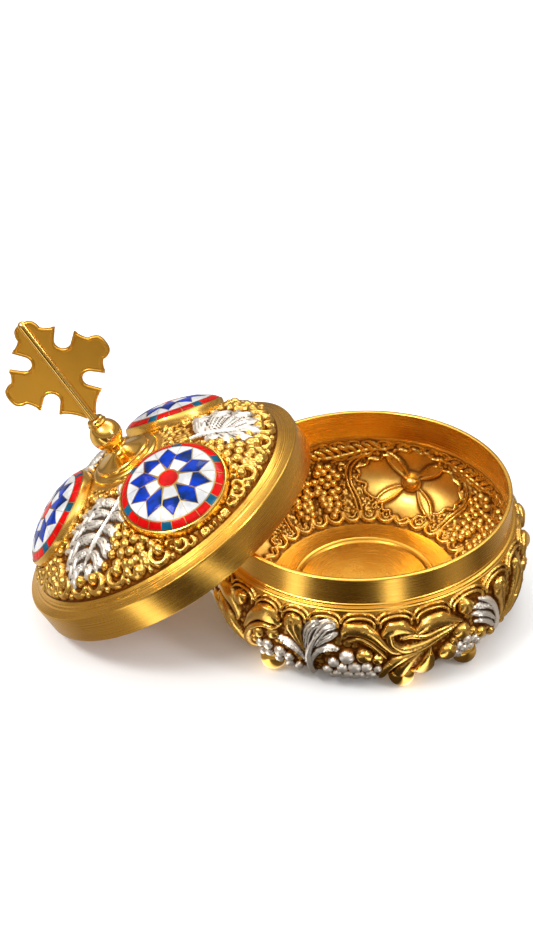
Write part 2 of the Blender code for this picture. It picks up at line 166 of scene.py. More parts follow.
def signed_volume(points, quads, triangles):
    """Six times the volume inside the faces, positive where they point outwards."""
    total = 0.0
    for a, b, c in ((0, 1, 2), (0, 2, 3)):
        if len(quads):
            p, q, r = points[quads[:, a]], points[quads[:, b]], points[quads[:, c]]
            total += np.einsum("ij,ij->", p, np.cross(q, r))
    if len(triangles):
        p, q, r = (points[triangles[:, k]] for k in range(3))
        total += np.einsum("ij,ij->", p, np.cross(q, r))
    return total


class Shell:
    """Vertices, faces and marks of a piece, gathered from closed parts."""

    def __init__(self):
        self.points = []
        self.quads = []
        self.triangles = []
        self.quad_finish = []
        self.triangle_finish = []
        self.marks = []
        self.count = 0

    def add(self, points, quads=(), triangles=(), finish=0, marks=None):
        """Adds one closed part, with its faces turned outwards."""
        points = np.asarray(points, float).reshape(-1, 3)
        quads = np.asarray(quads, int).reshape(-1, 4)
        triangles = np.asarray(triangles, int).reshape(-1, 3)
        middle = points.mean(0)
        if signed_volume(points - middle, quads, triangles) < 0:
            quads, triangles = quads[:, ::-1], triangles[:, ::-1]
        self.points.append(points)
        self.quads.append(quads + self.count)
        self.triangles.append(triangles + self.count)
        self.quad_finish.append(np.full(len(quads), finish))
        self.triangle_finish.append(np.full(len(triangles), finish))
        self.marks.append({k: np.asarray(v, float) for k, v in (marks or {}).items()})
        self.count += len(points)

    def build(self, name, materials, node, place, sharp=None):
        """Makes the object, puts it under the root and hides the part that it replaces."""
        points = place(np.concatenate(self.points))
        quads, triangles = np.concatenate(self.quads), np.concatenate(self.triangles)
        mesh = bpy.data.meshes.new(name)
        mesh.vertices.add(len(points))
        mesh.vertices.foreach_set("co", points.astype(np.float32).ravel())
        corners = np.concatenate([quads.ravel(), triangles.ravel()]).astype(np.int32)
        mesh.loops.add(len(corners))
        mesh.loops.foreach_set("vertex_index", corners)
        sizes = np.concatenate([np.full(len(quads), 4), np.full(len(triangles), 3)])
        mesh.polygons.add(len(sizes))
        mesh.polygons.foreach_set("loop_start", (np.cumsum(sizes) - sizes).astype(np.int32))
        finish = np.concatenate(self.quad_finish + self.triangle_finish).astype(np.int32)
        mesh.polygons.foreach_set("material_index", finish)
        mesh.polygons.foreach_set("use_smooth", np.ones(len(sizes), bool))
        mesh.update(calc_edges=True)
        for key in sorted({k for marks in self.marks for k in marks}):
            sample = next(marks[key] for marks in self.marks if key in marks)
            wide = sample.ndim == 2
            kind = "FLOAT_VECTOR" if wide else "FLOAT"
            values = [marks.get(key, np.zeros((len(p), 3) if wide else len(p)))
                      for marks, p in zip(self.marks, self.points)]
            layer = mesh.attributes.new(key, kind, "POINT")
            layer.data.foreach_set("vector" if wide else "value",
                                   np.concatenate(values).astype(np.float32).ravel())
        if sharp:
            mesh.set_sharp_from_angle(angle=math.radians(sharp))
        for material in materials:
            mesh.materials.append(material)
        piece = bpy.data.objects.new(name, mesh)
        bpy.context.scene.collection.objects.link(piece)
        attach(piece, "root")
        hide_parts(node)


def rounded(profile, size):
    """Closed profile whose corners are cut by short quadratic curves of about that size."""
    p = np.asarray(profile, float)
    size = np.broadcast_to(np.asarray(size, float), (len(p),))
    before, after = np.roll(p, 1, 0) - p, np.roll(p, -1, 0) - p
    reach_a = np.minimum(size / np.maximum(np.linalg.norm(before, axis=1), 1e-9), 0.48)
    reach_b = np.minimum(size / np.maximum(np.linalg.norm(after, axis=1), 1e-9), 0.48)
    a, b = p + before * reach_a[:, None], p + after * reach_b[:, None]
    t = np.linspace(0.0, 1.0, CORNER_STEPS)[None, :, None]
    curve = a[:, None] * (1 - t) ** 2 + p[:, None] * 2 * t * (1 - t) + b[:, None] * t ** 2
    return curve.reshape(-1, 2)


def turned(profile, sides):
    """Points of a profile of radius and height, turned round Z."""
    angle = np.linspace(0.0, math.tau, sides, endpoint=False)
    r, z = profile[:, 0][:, None], profile[:, 1][:, None]
    return np.stack([r * np.cos(angle), r * np.sin(angle), z + 0.0 * angle], -1)


def measured(profile):
    """Way along a profile up to each of its points."""
    return np.concatenate([[0.0], np.cumsum(np.linalg.norm(np.diff(profile, axis=0), axis=1))])


def lathe_mark(profile, sides):
    """Way along the profile and the turn, for streaks that run round a turned face."""
    way = measured(profile)[:, None]
    angle = np.linspace(0.0, math.tau, sides, endpoint=False)
    mark = np.stack([way + 0.0 * angle, np.cos(angle) + 0.0 * way, np.sin(angle) + 0.0 * way], -1)
    return mark.reshape(-1, 3)


def add_ring(shell, profile, sides, finish=0):
    """Closed profile turned into a ring: a grid that closes both ways."""
    points = turned(profile, sides)
    shell.add(points, grid_quads(len(profile), sides, close_rows=True), finish=finish,
              marks={"lathe": lathe_mark(profile, sides)})


def add_capped(shell, body, first_pole, last_pole, finish=0, marks=None):
    """Grid that closes round, with a pole before its first row and one after its last."""
    rows, columns = body.shape[:2]
    total = rows * columns
    ring = np.arange(columns)
    triangles = np.concatenate([fan_triangles(ring, total, True),
                                fan_triangles(ring + total - columns, total + 1, False)])
    points = np.concatenate([body.reshape(-1, 3), [first_pole, last_pole]])
    shell.add(points, grid_quads(rows, columns), triangles, finish, marks)


def add_turned(shell, profile, sides, finish=0):
    """Open profile from axis to axis turned into a solid, with a pole at each end."""
    lathe = np.concatenate([lathe_mark(profile[1:-1], sides), np.zeros((2, 3))])
    add_capped(shell, turned(profile[1:-1], sides), (0.0, 0.0, profile[0, 1]),
               (0.0, 0.0, profile[-1, 1]), finish, {"lathe": lathe})


# Carving


def blurred(field, width):
    """Field averaged over a bell curve whose half width is in grid steps."""
    both = np.concatenate([field, field[::-1]])
    fy = np.fft.fftfreq(both.shape[0])[:, None]
    fx = np.fft.rfftfreq(both.shape[1])[None, :]
    bell = np.exp(-2.0 * math.pi ** 2 * ((fy * width) ** 2 + (fx * width) ** 2))
    return np.fft.irfft2(np.fft.rfft2(both) * bell, s=both.shape)[:len(field)]


# Step along a stroke's curve, and the least half width that it may have
LINE_STEP = 0.35
LEAST_HALF = 0.04


def smooth_line(points, scale=1.0):
    """Control points joined by a smooth curve through each of them, in even steps. The
    scale is the millimetres to a unit of x."""
    p = np.asarray(points, float)
    ends = np.concatenate([[2 * p[0] - p[1]], p, [2 * p[-1] - p[-2]]])
    pieces = []
    for k in range(len(p) - 1):
        a, b, c, d = ends[k:k + 4]
        long = math.hypot((c[0] - b[0]) * scale, c[1] - b[1])
        t = np.linspace(0.0, 1.0, max(int(long / LINE_STEP), 2), endpoint=False)[:, None]
        pieces.append(0.5 * (2 * b + (c - a) * t + (2 * a - 5 * b + 4 * c - d) * t ** 2
                             + (3 * b - a - 3 * c + d) * t ** 3))
    line = np.concatenate(pieces + [p[-1:]])
    line[:, 2] = np.maximum(line[:, 2], LEAST_HALF)
    return line


# Height of each kind of stroke at a share q of its half width
SECTIONS = {
    "round": lambda q: np.sqrt(1.0 - q ** 2),
    "leaf": lambda q: np.sqrt(1.0 - q ** 2) * (1.0 - 0.30 * np.exp(-(q / 0.16) ** 2)),
    "fan": lambda q: (np.sqrt(1.0 - q ** 2) * (0.74 + 0.26 * np.cos(math.tau * 2.0 * q))
                      * (1.0 - 0.25 * q)),
    "rib": lambda q: 0.75 * np.sqrt(1.0 - q ** 2) + 0.25 * np.exp(-(q / 0.20) ** 2),
    "cup": lambda q: (0.42 + 0.58 * np.clip(q / 0.72, 0, 1) ** 2) * np.sqrt(1.0 - q ** 8),
}

# Millimetres to a degree of turn, for the steps of a stroke and for the grains of the ground
TURN_SCALE = 0.93
GRAIN_SCALE = 45.0 / 51.0

# Pitch of the grains of the ground outside, inside and on the dome
OUTER_PITCH, INNER_PITCH, DOME_PITCH = 2.1, 1.75, 1.55

# Share of a full turn that a scroll winds
CURL_WIND = 0.82


class Carving:
    """Heights over a grid of places, with the plating of the form that stands highest.

    x is a turn in degrees where wrap is given, with scale its millimetres to a
    degree, and a distance in millimetres otherwise. y is always a distance."""

    def __init__(self, x, y, scale=None, wrap=None):
        self.x, self.y, self.wrap = x, y, wrap
        self.scale = np.ones_like(x) if scale is None else scale
        self.height = np.zeros_like(x)
        self.plated = np.zeros_like(x)

    def near(self, points, reach):
        """Places in the box round some points, with x brought next to them."""
        low, high = points[:, :2].min(0), points[:, :2].max(0)
        middle, half = (low + high) / 2, (high - low) / 2
        x = self.x
        if self.wrap:
            x = (x - middle[0] + self.wrap / 2) % self.wrap - self.wrap / 2 + middle[0]
        hit = (np.abs(x - middle[0]) < half[0] + reach / self.scale)
        hit &= np.abs(self.y - middle[1]) < half[1] + reach
        return hit, x[hit]

    def put(self, hit, new, plated):
        """Keeps the higher of what stands there and the new form."""
        old = self.height[hit]
        win = new > old
        self.height[hit] = np.where(win, new, old)
        self.plated[hit] = np.where(win, plated, self.plated[hit])

    def stroke(self, points, height, kind="round", plated=0.0, base=0.0, veins=0):
        """Form along a curve: at a share q of the half width from the nearest point of
        the curve its height is that of the kind's cross section, lower where it narrows."""
        line = smooth_line(points, TURN_SCALE if self.wrap else 1.0)
        hit, x = self.near(line, line[:, 2].max())
        if not hit.any():
            return
        dx = (x[:, None] - line[None, :, 0]) * self.scale[hit][:, None]
        dy = self.y[hit][:, None] - line[None, :, 1]
        share = np.sqrt(dx ** 2 + dy ** 2) / line[None, :, 2]
        k = share.argmin(1)
        nearest = share[np.arange(len(k)), k]
        q = np.minimum(nearest, 1.0)
        section = SECTIONS[kind](q)
        if veins:
            t = k / max(len(line) - 1, 1)
            wave = 0.5 + 0.5 * np.cos(math.tau * (veins * t - 0.9 * q))
            section = section * (1.0 - 0.22 * wave * np.clip(q * 3.0, 0, 1))
        rise = (line[k, 2] / line[:, 2].max()) ** 0.55
        new = base * rise + height * section * rise
        self.put(hit, np.where(nearest < 1.0, new, -1.0), plated)

    def berry(self, x, y, radius, base=0.4, plated=0.0, swell=0.85):
        """Round berry: the upper part of a ball on a low base."""
        hit, px = self.near(np.array([[x, y]]), radius)
        if not hit.any():
            return
        q2 = (((px - x) * self.scale[hit]) ** 2 + (self.y[hit] - y) ** 2) / radius ** 2
        new = base + radius * swell * np.sqrt(np.clip(1.0 - q2, 0.0, 1.0))
        self.put(hit, np.where(q2 < 1.0, new, -1.0), plated)

    def plate(self, points, low, high):
        """Smooth dished plate in a closed outline: its height grows from low to high with
        the square of the distance from its middle. It takes away what stood there."""
        p = smooth_line(np.column_stack([points, np.ones(len(points))]))[:, :2]
        hit, x = self.near(np.column_stack([p, np.zeros(len(p))]), 0.5)
        y = self.y[hit]
        inside = np.zeros(len(x), bool)
        for (ax, ay), (bx, by) in zip(p, np.roll(p, -1, 0)):
            if ay != by:
                across = ax + (y - ay) * (bx - ax) / (by - ay)
                inside ^= ((ay > y) != (by > y)) & (x < across)
        middle = p.mean(0)
        far = ((x - middle[0]) * self.scale[hit]) ** 2 + (y - middle[1]) ** 2
        new = low + (high - low) * far / max(far[inside].max(initial=0.0), 1.0)
        self.height[hit] = np.where(inside, new, self.height[hit])
        self.plated[hit] = np.where(inside, 0.0, self.plated[hit])

    def curl(self, x, y, size, start, sense, half, height):
        """Scroll: a line that winds inward from start degrees and ends in a bead."""
        share = np.linspace(0.0, 1.0, 12)
        angle = np.radians(start + sense * 360.0 * CURL_WIND * share)
        radius = size * (1.0 - 0.55 * share ** 1.4)
        scale = float(self.scale.mean())
        points = np.stack([x + radius * np.cos(angle) / scale, y + radius * np.sin(angle),
                           half * (0.75 + 0.25 * np.sin(math.pi * share))], -1)
        self.stroke(points, height, base=0.25)
        self.berry(points[-1, 0], points[-1, 1], half * 1.45, height * 0.55, swell=1.0)

    def arch(self, left, right, foot, top, half, height, power=2.0):
        """Thin raised line from left to right, bowed up as half a superellipse."""
        angle = np.linspace(math.pi, 0.0, 15)
        middle, reach = (left + right) / 2, (right - left) / 2
        x = middle + reach * np.sign(np.cos(angle)) * np.abs(np.cos(angle)) ** (2 / power)
        y = foot + (top - foot) * np.abs(np.sin(angle)) ** (2 / power)
        self.stroke(np.stack([x, y, np.full_like(x, half)], -1), height)


def hash_noise(a, b, seed):
    """Repeatable number from 0 to 1 for each pair of numbers."""
    value = np.sin(a * 127.1 + b * 311.7 + seed * 74.7) * 43758.5453
    return value - np.floor(value)


def granules(x, y, pitch, seed):
    """Field of small round grains of uneven size on a loosened square net, 1 on top of a
    grain and 0 between them."""
    gx, gy = np.floor(x / pitch), np.floor(y / pitch)
    best = np.zeros_like(x)
    for ox in (-1, 0, 1):
        for oy in (-1, 0, 1):
            cx, cy = gx + ox, gy + oy
            jx = (cx + 0.5 + 0.75 * (hash_noise(cx, cy, seed) - 0.5)) * pitch
            jy = (cy + 0.5 + 0.75 * (hash_noise(cx, cy, seed + 1.0) - 0.5)) * pitch
            size = pitch * (0.44 + 0.16 * hash_noise(cx, cy, seed + 2.0))
            q2 = ((x - jx) ** 2 + (y - jy) ** 2) / size ** 2
            best = np.maximum(best, np.sqrt(np.clip(1.0 - q2, 0.0, 1.0)))
    return best


def relief_marks(height, plated, width):
    """Marks for the surface: how deep a place lies under its surroundings, which darkens its colour
    with the metal's own brown of age and with painted shade, how far it stands over them, and
    where it is silver. The width of the surroundings is in steps."""
    level = 0.35
    near, wide = blurred(height, width), blurred(height, width * 2.6)
    hollow = np.clip((near - height) / level, 0, 1) * 0.7
    hollow += np.clip((wide - height) / (level * 2), 0, 1) * 0.5
    raised = np.clip((height - near) / level, 0, 1)
    return {"hollow": np.clip(hollow, 0, 1), "raised": raised, "plated": plated}


def moved(points, turn, way=0.0):
    """Places with their half widths, moved by a turn and a way."""
    return tuple((x + turn, y + way, half) for x, y, half in points)


# Finishes


def node(tree, kind, inputs=None, **settings):
    """Adds a node. Its inputs take a value, or a socket to link from."""
    made = tree.nodes.new(kind)
    for key, value in settings.items():
        setattr(made, key, value)
    for key, value in (inputs or {}).items():
        if isinstance(value, bpy.types.NodeSocket):
            tree.links.new(value, made.inputs[key])
        else:
            made.inputs[key].default_value = value
    return made


def mixed(tree, factor, a, b, blend="MIX"):
    """Colour between a and b."""
    made = node(tree, "ShaderNodeMix", {0: factor, 6: a, 7: b}, data_type="RGBA", blend_type=blend)
    return made.outputs[2]


def ranged(tree, value, low, high, to_low, to_high):
    """Value carried from one range to another, kept inside it."""
    return node(tree, "ShaderNodeMapRange", {0: value, 1: low, 2: high, 3: to_low, 4: to_high}).outputs[0]


def worked(tree, operation, a, b=0.0):
    """Result of a sum on one or two numbers."""
    return node(tree, "ShaderNodeMath", {0: a, 1: b}, operation=operation).outputs[0]


def noise(tree, vector, scale, detail=2.0, rough=0.5):
    """Noise from 0 to 1."""
    made = node(tree, "ShaderNodeTexNoise", {"Vector": vector, "Scale": scale, "Detail": detail,
                                             "Roughness": rough})
    return made.outputs["Fac"]


def attribute(tree, name, output="Fac"):
    """Mark of the mesh."""
    return node(tree, "ShaderNodeAttribute", attribute_name=name).outputs[output]


def new_group(name, colours, numbers, results):
    """Node group that takes colours and numbers, and gives a colour, a roughness and other
    numbers. Returns its tree, its inputs, its outputs and the place on the piece."""
    tree = bpy.data.node_groups.new(name, "ShaderNodeTree")
    sockets = [(label, "INPUT", "NodeSocketColor") for label in colours]
    sockets += [(label, "INPUT", "NodeSocketFloat") for label in numbers]
    sockets += [("Colour", "OUTPUT", "NodeSocketColor"), ("Roughness", "OUTPUT", "NodeSocketFloat")]
    sockets += [(label, "OUTPUT", "NodeSocketFloat") for label in results]
    for label, way, kind in sockets:
        tree.interface.new_socket(label, in_out=way, socket_type=kind)
    given, made = tree.nodes.new("NodeGroupInput").outputs, tree.nodes.new("NodeGroupOutput").inputs
    return tree, given, made, node(tree, "ShaderNodeTexCoord").outputs["Object"]


def carved_skin_group():
    """Chased metal: darkened hollows, partly the metal's own brown of age and partly painted shade, rubbed
    tops, small tool marks.
    """
    tree, given, made, place = new_group(
        "carved skin", ("Metal", "Patina", "Silver", "Silver patina"), ("Darkness",),
        ("Metallic", "Tooling"))
    broad = noise(tree, place, 140.0, 2.0)
    fine = noise(tree, place, 1500.0, 3.0, 0.6)
    hollow = worked(tree, "ADD", attribute(tree, "hollow"), ranged(tree, fine, 0.3, 0.75, -0.12, 0.14))
    # Gold and silver darken in the hollows: the metal's own brown and grey of age, and painted shade
    dark = ranged(tree, hollow, 0.08, 0.62, 0.0, 1.0)
    dark = worked(tree, "MULTIPLY", dark, given["Darkness"])
    blotch = ranged(tree, broad, 0.35, 0.7, 0.0, 0.35)
    metal = mixed(tree, blotch, given["Metal"], given["Patina"], "MULTIPLY")
    gold = mixed(tree, dark, metal, given["Patina"])
    silver = mixed(tree, dark, given["Silver"], given["Silver patina"])
    worn = worked(tree, "ADD", attribute(tree, "plated"), ranged(tree, fine, 0.35, 0.7, -0.22, 0.12))
    plated = ranged(tree, worn, 0.42, 0.62, 0.0, 1.0)
    tree.links.new(mixed(tree, plated, gold, silver), made["Colour"])
    rough = ranged(tree, worked(tree, "SUBTRACT", dark, attribute(tree, "raised")), -0.6, 0.9, 0.24, 0.55)
    rough = worked(tree, "ADD", rough, ranged(tree, broad, 0.3, 0.7, -0.03, 0.05))
    rough = worked(tree, "ADD", rough, worked(tree, "MULTIPLY", plated, 0.15))
    tree.links.new(rough, made["Roughness"])
    tree.links.new(ranged(tree, plated, 0.0, 1.0, 1.0, 0.90), made["Metallic"])
    dents = noise(tree, place, 420.0, 1.0)
    tree.links.new(worked(tree, "ADD", dents, worked(tree, "MULTIPLY", fine, 0.35)), made["Tooling"])
    return tree


def turned_skin_group():
    """Satin lines that run round a turned face, with faint blotches."""
    tree, given, made, place = new_group("turned skin", ("Metal", "Shade"), (), ("Lines",))
    way = attribute(tree, "lathe", "Vector")
    stretch = node(tree, "ShaderNodeVectorMath", {0: way, 1: (9.0, 2.2, 2.2)}, operation="MULTIPLY")
    lines = noise(tree, stretch.outputs[0], 1.0, 4.0, 0.65)
    wide = node(tree, "ShaderNodeVectorMath", {0: way, 1: (1.6, 1.2, 1.2)}, operation="MULTIPLY")
    bands = noise(tree, wide.outputs[0], 1.0, 2.0)
    blotch = noise(tree, place, 60.0, 3.0)
    tone = worked(tree, "ADD", ranged(tree, lines, 0.3, 0.7, 0.0, 0.55),
                  ranged(tree, bands, 0.3, 0.7, 0.0, 0.35))
    tree.links.new(mixed(tree, tone, given["Metal"], given["Shade"]), made["Colour"])
    rough = worked(tree, "ADD", ranged(tree, lines, 0.3, 0.7, 0.18, 0.30),
                   ranged(tree, blotch, 0.3, 0.7, -0.02, 0.05))
    tree.links.new(rough, made["Roughness"])
    tree.links.new(lines, made["Lines"])
    return tree


def handled_skin_group():
    """Polished or satin metal with soft tone changes and tiny scratches."""
    tree, given, made, place = new_group("handled skin", ("Metal", "Shade"), ("Low", "High"),
                                         ("Scratches",))
    broad = noise(tree, place, 110.0, 3.0)
    fine = noise(tree, place, 2200.0, 3.0, 0.65)
    tree.links.new(mixed(tree, ranged(tree, broad, 0.35, 0.7, 0.0, 0.6), given["Metal"], given["Shade"]),
                   made["Colour"])
    share = worked(tree, "ADD", broad, worked(tree, "MULTIPLY", fine, 0.4))
    share = ranged(tree, share, 0.45, 0.95, 0.0, 1.0)
    rough = node(tree, "ShaderNodeMix", {0: share, 2: given["Low"], 3: given["High"]}, data_type="FLOAT")
    tree.links.new(rough.outputs[0], made["Roughness"])
    tree.links.new(fine, made["Scratches"])
    return tree


def glass_skin_group():
    """Fired glass: cloudy tone, darker where it is thick, and a gently uneven face."""
    tree, given, made, place = new_group("fired glass", ("Light", "Deep"), (), ("Waves",))
    cloud = noise(tree, place, 150.0, 3.0, 0.6)
    waves = noise(tree, place, 520.0, 2.0)
    tree.links.new(mixed(tree, ranged(tree, cloud, 0.42, 0.60, 0.0, 1.0), given["Light"], given["Deep"]),
                   made["Colour"])
    tree.links.new(ranged(tree, waves, 0.3, 0.7, 0.07, 0.16), made["Roughness"])
    tree.links.new(waves, made["Waves"])
    return tree


def principled(name):
    """New material with its tree and shader."""
    material = bpy.data.materials.new(name)
    material.use_nodes = True
    tree = material.node_tree
    return material, tree, tree.nodes["Principled BSDF"]


def skinned(name, group, values, relief, bump, settings=None):
    """Material that takes colour, roughness and relief from a group. The shader is a
    metal's unless the settings say otherwise."""
    material, tree, shader = principled(name)
    inner = node(tree, "ShaderNodeGroup", values, node_tree=group).outputs
    for key, value in {"Metallic": 1.0, **(settings or {})}.items():
        shader.inputs[key].default_value = value
    for key, target in (("Colour", "Base Color"), ("Roughness", "Roughness"), ("Metallic", "Metallic")):
        if key in inner:
            tree.links.new(inner[key], shader.inputs[target])
    raised = node(tree, "ShaderNodeBump", {"Strength": 1.0, "Distance": bump, "Height": inner[relief]})
    tree.links.new(raised.outputs[0], shader.inputs["Normal"])
    return material


def full(colour):
    """Colour with its opacity."""
    return (*tuple(colour)[:3], 1.0)


# Settings of the shader of all four enamels
GLASS = {"Metallic": 0.0, "Coat Weight": 0.06, "Coat Roughness": 0.04, "IOR": 1.23}


def make_looks(colours):
    """All materials of the box, from the colours in the panel."""
    gilt, patina, satin = full(colours.gilt), full(colours.patina), full(colours.satin)
    shade, grained, wire = full(colours.satin_shade), full(colours.grained), full(colours.wire)
    plating = {"Metal": gilt, "Patina": patina, "Silver": full(colours.silver),
               "Silver patina": full(colours.tarnish_and_shade)}
    brushed = {"Metal": satin, "Shade": shade}
    # The inside's brushed gilt is a darker copy of the outside's: painted shade inside the bowl
    well = {"Metal": full(colours.well), "Shade": full(colours.well_shade)}
    carved, lathed = carved_skin_group(), turned_skin_group()
    handled, glass = handled_skin_group(), glass_skin_group()
    looks = {}
    # Darkness sets how far the hollows darken: age on the metal and painted shade
    looks["carved"] = skinned("gilt carving", carved, dict(plating, Darkness=1.0), "Tooling", 0.00015)
    looks["carved_inside"] = skinned("gilt carving inside", carved, dict(plating, Darkness=0.88),
                                     "Tooling", 0.00006)
    looks["turned"] = skinned("satin gilt", lathed, brushed, "Lines", 0.000012)
    looks["well"] = skinned("satin gilt inside", lathed, well, "Lines", 0.000012)
    for key, name, metal, dull, low, high, scratch in (
            ("polished", "polished gilt", gilt, satin, 0.10, 0.24, 0.000006),
            ("plate", "grained gilt", grained, shade, 0.30, 0.42, 0.00003),
            ("wire", "gilt wires", wire, patina, 0.3, 0.45, 0.00001),
            ("bezel", "gilt bezel", gilt, satin, 0.18, 0.34, 0.00001)):
        looks[key] = skinned(name, handled, {"Metal": metal, "Shade": dull, "Low": low, "High": high},
                             "Scratches", scratch)
    for key in ("red", "blue", "teal", "white"):
        tones = {"Light": full(getattr(colours, key)), "Deep": full(getattr(colours, f"{key}_deep"))}
        looks[key] = skinned(f"{key} enamel", glass, tones, "Waves", 0.00003, GLASS)
    return looks


# Bowl


def super_curve(outer, inner, top, bottom, power, steps):
    """Quarter of a superellipse from (outer, top) down to (inner, bottom)."""
    turn = np.linspace(0.0, math.pi / 2, steps + 1)
    out = np.clip(np.cos(turn), 0, 1) ** (2.0 / power)
    down = np.clip(np.sin(turn), 0, 1) ** (2.0 / power)
    return np.stack([inner + (outer - inner) * out, top + (bottom - top) * down], -1)


def points_along(profile, ways, side):
    """Points of a profile at given ways, and the normals on one side of it."""
    own = measured(profile)
    fine = np.linspace(0.0, own[-1], 1600)
    r, z = (np.interp(fine, own, profile[:, k]) for k in (0, 1))
    kernel = np.hanning(41) / np.hanning(41).sum()
    tangent = np.stack([np.convolve(np.pad(np.gradient(v, fine), 20, mode="edge"), kernel, "valid")
                        for v in (r, z)], -1)
    tangent /= np.linalg.norm(tangent, axis=1, keepdims=True)
    normal = np.stack([-tangent[:, 1], tangent[:, 0]], -1) * side
    place = np.stack([np.interp(ways, fine, v) for v in (r, z)], -1)
    return place, np.stack([np.interp(ways, fine, normal[:, k]) for k in (0, 1)], -1)


def with_height(profile):
    """Radius and depth under the rim, made radius and height above the ground."""
    return np.stack([profile[:, 0], RIM_Z - profile[:, 1]], -1)


OUTSIDE = with_height(np.concatenate([
    [(COLLAR_R, 0.4), (COLLAR_R, 10.0), (STEP_R, 10.0), (STEP_R, 10.8), (52.7, 14.6),
     (53.05, 15.0), (BELLY_R, 17.8)],
    super_curve(BELLY_R, BASE_R, 21.5, BASE_DEPTH, 2.6, 60)]))
INSIDE = with_height(np.concatenate([
    [(COLLAR_R - COLLAR_WALL, 0.4), (COLLAR_R - COLLAR_WALL, 10.0), (50.5, 14.6), (51.2, 17.2)],
    super_curve(BELLY_R - WALL, 25.8, 21.5, FLOOR_DEPTH, 2.05, 60)]))
# Ways down the profiles at which the carving starts, is split in two pieces and ends
OUTER_TOP, OUTER_SPLIT = 11.75, 31.0
INNER_TOP, INNER_SPLIT = 11.2, 30.0
INNER_END = 49.5


def round_carving(profile, side, ways, columns, wrap, first):
    """Empty carving over part of a turned face: a stretch of wrap degrees from the first
    one, at the given ways down the profile."""
    y = np.repeat(ways[:, None], columns, 1)
    x = np.repeat((np.arange(columns) * wrap / columns + first)[None, :], len(ways), 0)
    place, _ = points_along(profile, ways, side)
    scale = np.repeat((place[:, 0] * math.pi / 180.0)[:, None], columns, 1)
    return Carving(x, y, scale, wrap)


def carved_strip(shell, profile, side, ways, fields, back):
    """Carved rows pushed out along the profile's normals by the height in the fields, with
    a plain back that closes them into a ring. The fields repeat until they go all round."""
    place, normal = points_along(profile, ways, side)
    repeats = BODY_COLUMNS // fields["height"].shape[1]
    fields = {key: np.tile(field, (1, repeats)) for key, field in fields.items()}
    height = fields.pop("height")
    angle = np.linspace(0.0, math.tau, BODY_COLUMNS, endpoint=False)
    r, z = (place[:, k][:, None] + height * normal[:, k][:, None] for k in (0, 1))
    front = np.stack([r * np.cos(angle), r * np.sin(angle), z], -1)
    behind, out = points_along(profile, np.linspace(ways[-1], ways[0], BACK_ROWS), side)
    points = np.concatenate([front, turned(behind + out * back, BODY_COLUMNS)])
    plain = np.zeros((BACK_ROWS, BODY_COLUMNS))
    marks = {key: np.concatenate([field, plain]).ravel() for key, field in fields.items()}
    shell.add(points, grid_quads(len(points), BODY_COLUMNS, close_rows=True), marks=marks)


def build_body_ring(name, look, profile, side, carving, width, split_way, back):
    """Carved ring of the body, in an upper and a lower piece."""
    ways = carving.y[:, 0]
    fields = relief_marks(carving.height, carving.plated, width)
    fields["height"] = carving.height
    split = int(np.searchsorted(ways, split_way))
    for part, first, last in (("upper", 0, split + 1), ("lower", split, len(ways))):
        shell = Shell()
        rows = {key: field[first:last] for key, field in fields.items()}
        carved_strip(shell, profile, side, ways[first:last], rows, back)
        shell.build(f"{name}_{part}", [look], "bowl", on_bowl, sharp=SHARP_CARVING)


# Turns at which two arches of the frieze meet, over half of it
ARCH_CUSPS = (-179.0, -167.0, -155.0, -143.0, -130.6, -119.8, -109.4, -98.1, -86.0, -73.6,
              -60.0, -45.0, -30.5, -15.5)

# Berries of the frieze: turn, way down the profile and radius
OUTER_BERRIES_GOLD = (
    (-129.1, 27.1, 2.0), (-122.6, 24.6, 2.0), (-132.1, 31.5, 1.2), (-136.8, 17.0, 2.5),
    (-90.6, 27.6, 2.58), (-86.2, 29.6, 1.74), (-61.4, 32.1, 3.18), (-59.2, 28.6, 1.41),
    (-56.3, 25.7, 2.99), (-50.9, 28.7, 1.49), (-46.8, 31.4, 2.08), (-37.9, 37.5, 1.68),
    (-31.8, 36.3, 1.47), (-54.7, 17.0, 2.61), (-147.8, 33.4, 1.6), (-151.2, 30.6, 1.5),
    (-145.6, 37.8, 1.5), (-149.6, 37.0, 1.3), (-143.8, 42.0, 1.3),
)
OUTER_BERRIES_SILVER = (
    (-129.7, 32.4, 1.34), (-125.8, 31.0, 1.67), (-130.3, 37.2, 1.52), (-120.8, 31.9, 1.83),
    (-126.6, 35.4, 1.52), (-117.5, 33.4, 1.49), (-122.6, 36.4, 1.42), (-118.2, 37.4, 1.40),
    (-128.5, 40.4, 1.36), (-124.4, 39.8, 1.30), (-120.4, 40.8, 1.30), (-116.2, 40.9, 1.25),
    (-114.3, 36.8, 1.2), (-126.6, 43.6, 1.2), (-122.2, 43.8, 1.2), (-118.0, 44.4, 1.1),
    (-96.4, 28.3, 2.20), (-101.1, 31.2, 1.63), (-98.2, 33.6, 1.70), (-94.0, 33.0, 1.96),
    (-90.0, 32.9, 1.72), (-103.6, 35.6, 1.49), (-100.3, 37.6, 1.49), (-96.4, 37.6, 1.65),
    (-92.5, 37.4, 1.60), (-88.5, 37.2, 1.55), (-98.4, 41.0, 1.40), (-94.4, 41.2, 1.45),
    (-90.4, 41.0, 1.49), (-102.4, 40.6, 1.3), (-86.4, 40.6, 1.43), (-96.4, 44.6, 1.3),
    (-92.4, 44.8, 1.3), (-86.2, 34.4, 1.2), (-88.4, 44.4, 1.2),
    (-53.2, 31.2, 1.60), (-56.7, 32.2, 1.49), (-49.6, 32.6, 1.45), (-53.6, 35.2, 1.51),
    (-57.2, 36.0, 1.4), (-50.0, 36.6, 1.4), (-46.6, 36.0, 1.37), (-54.0, 39.0, 1.38),
    (-50.4, 40.2, 1.3), (-46.8, 39.8, 1.3), (-57.6, 39.6, 1.25), (-53.8, 42.8, 1.2),
)
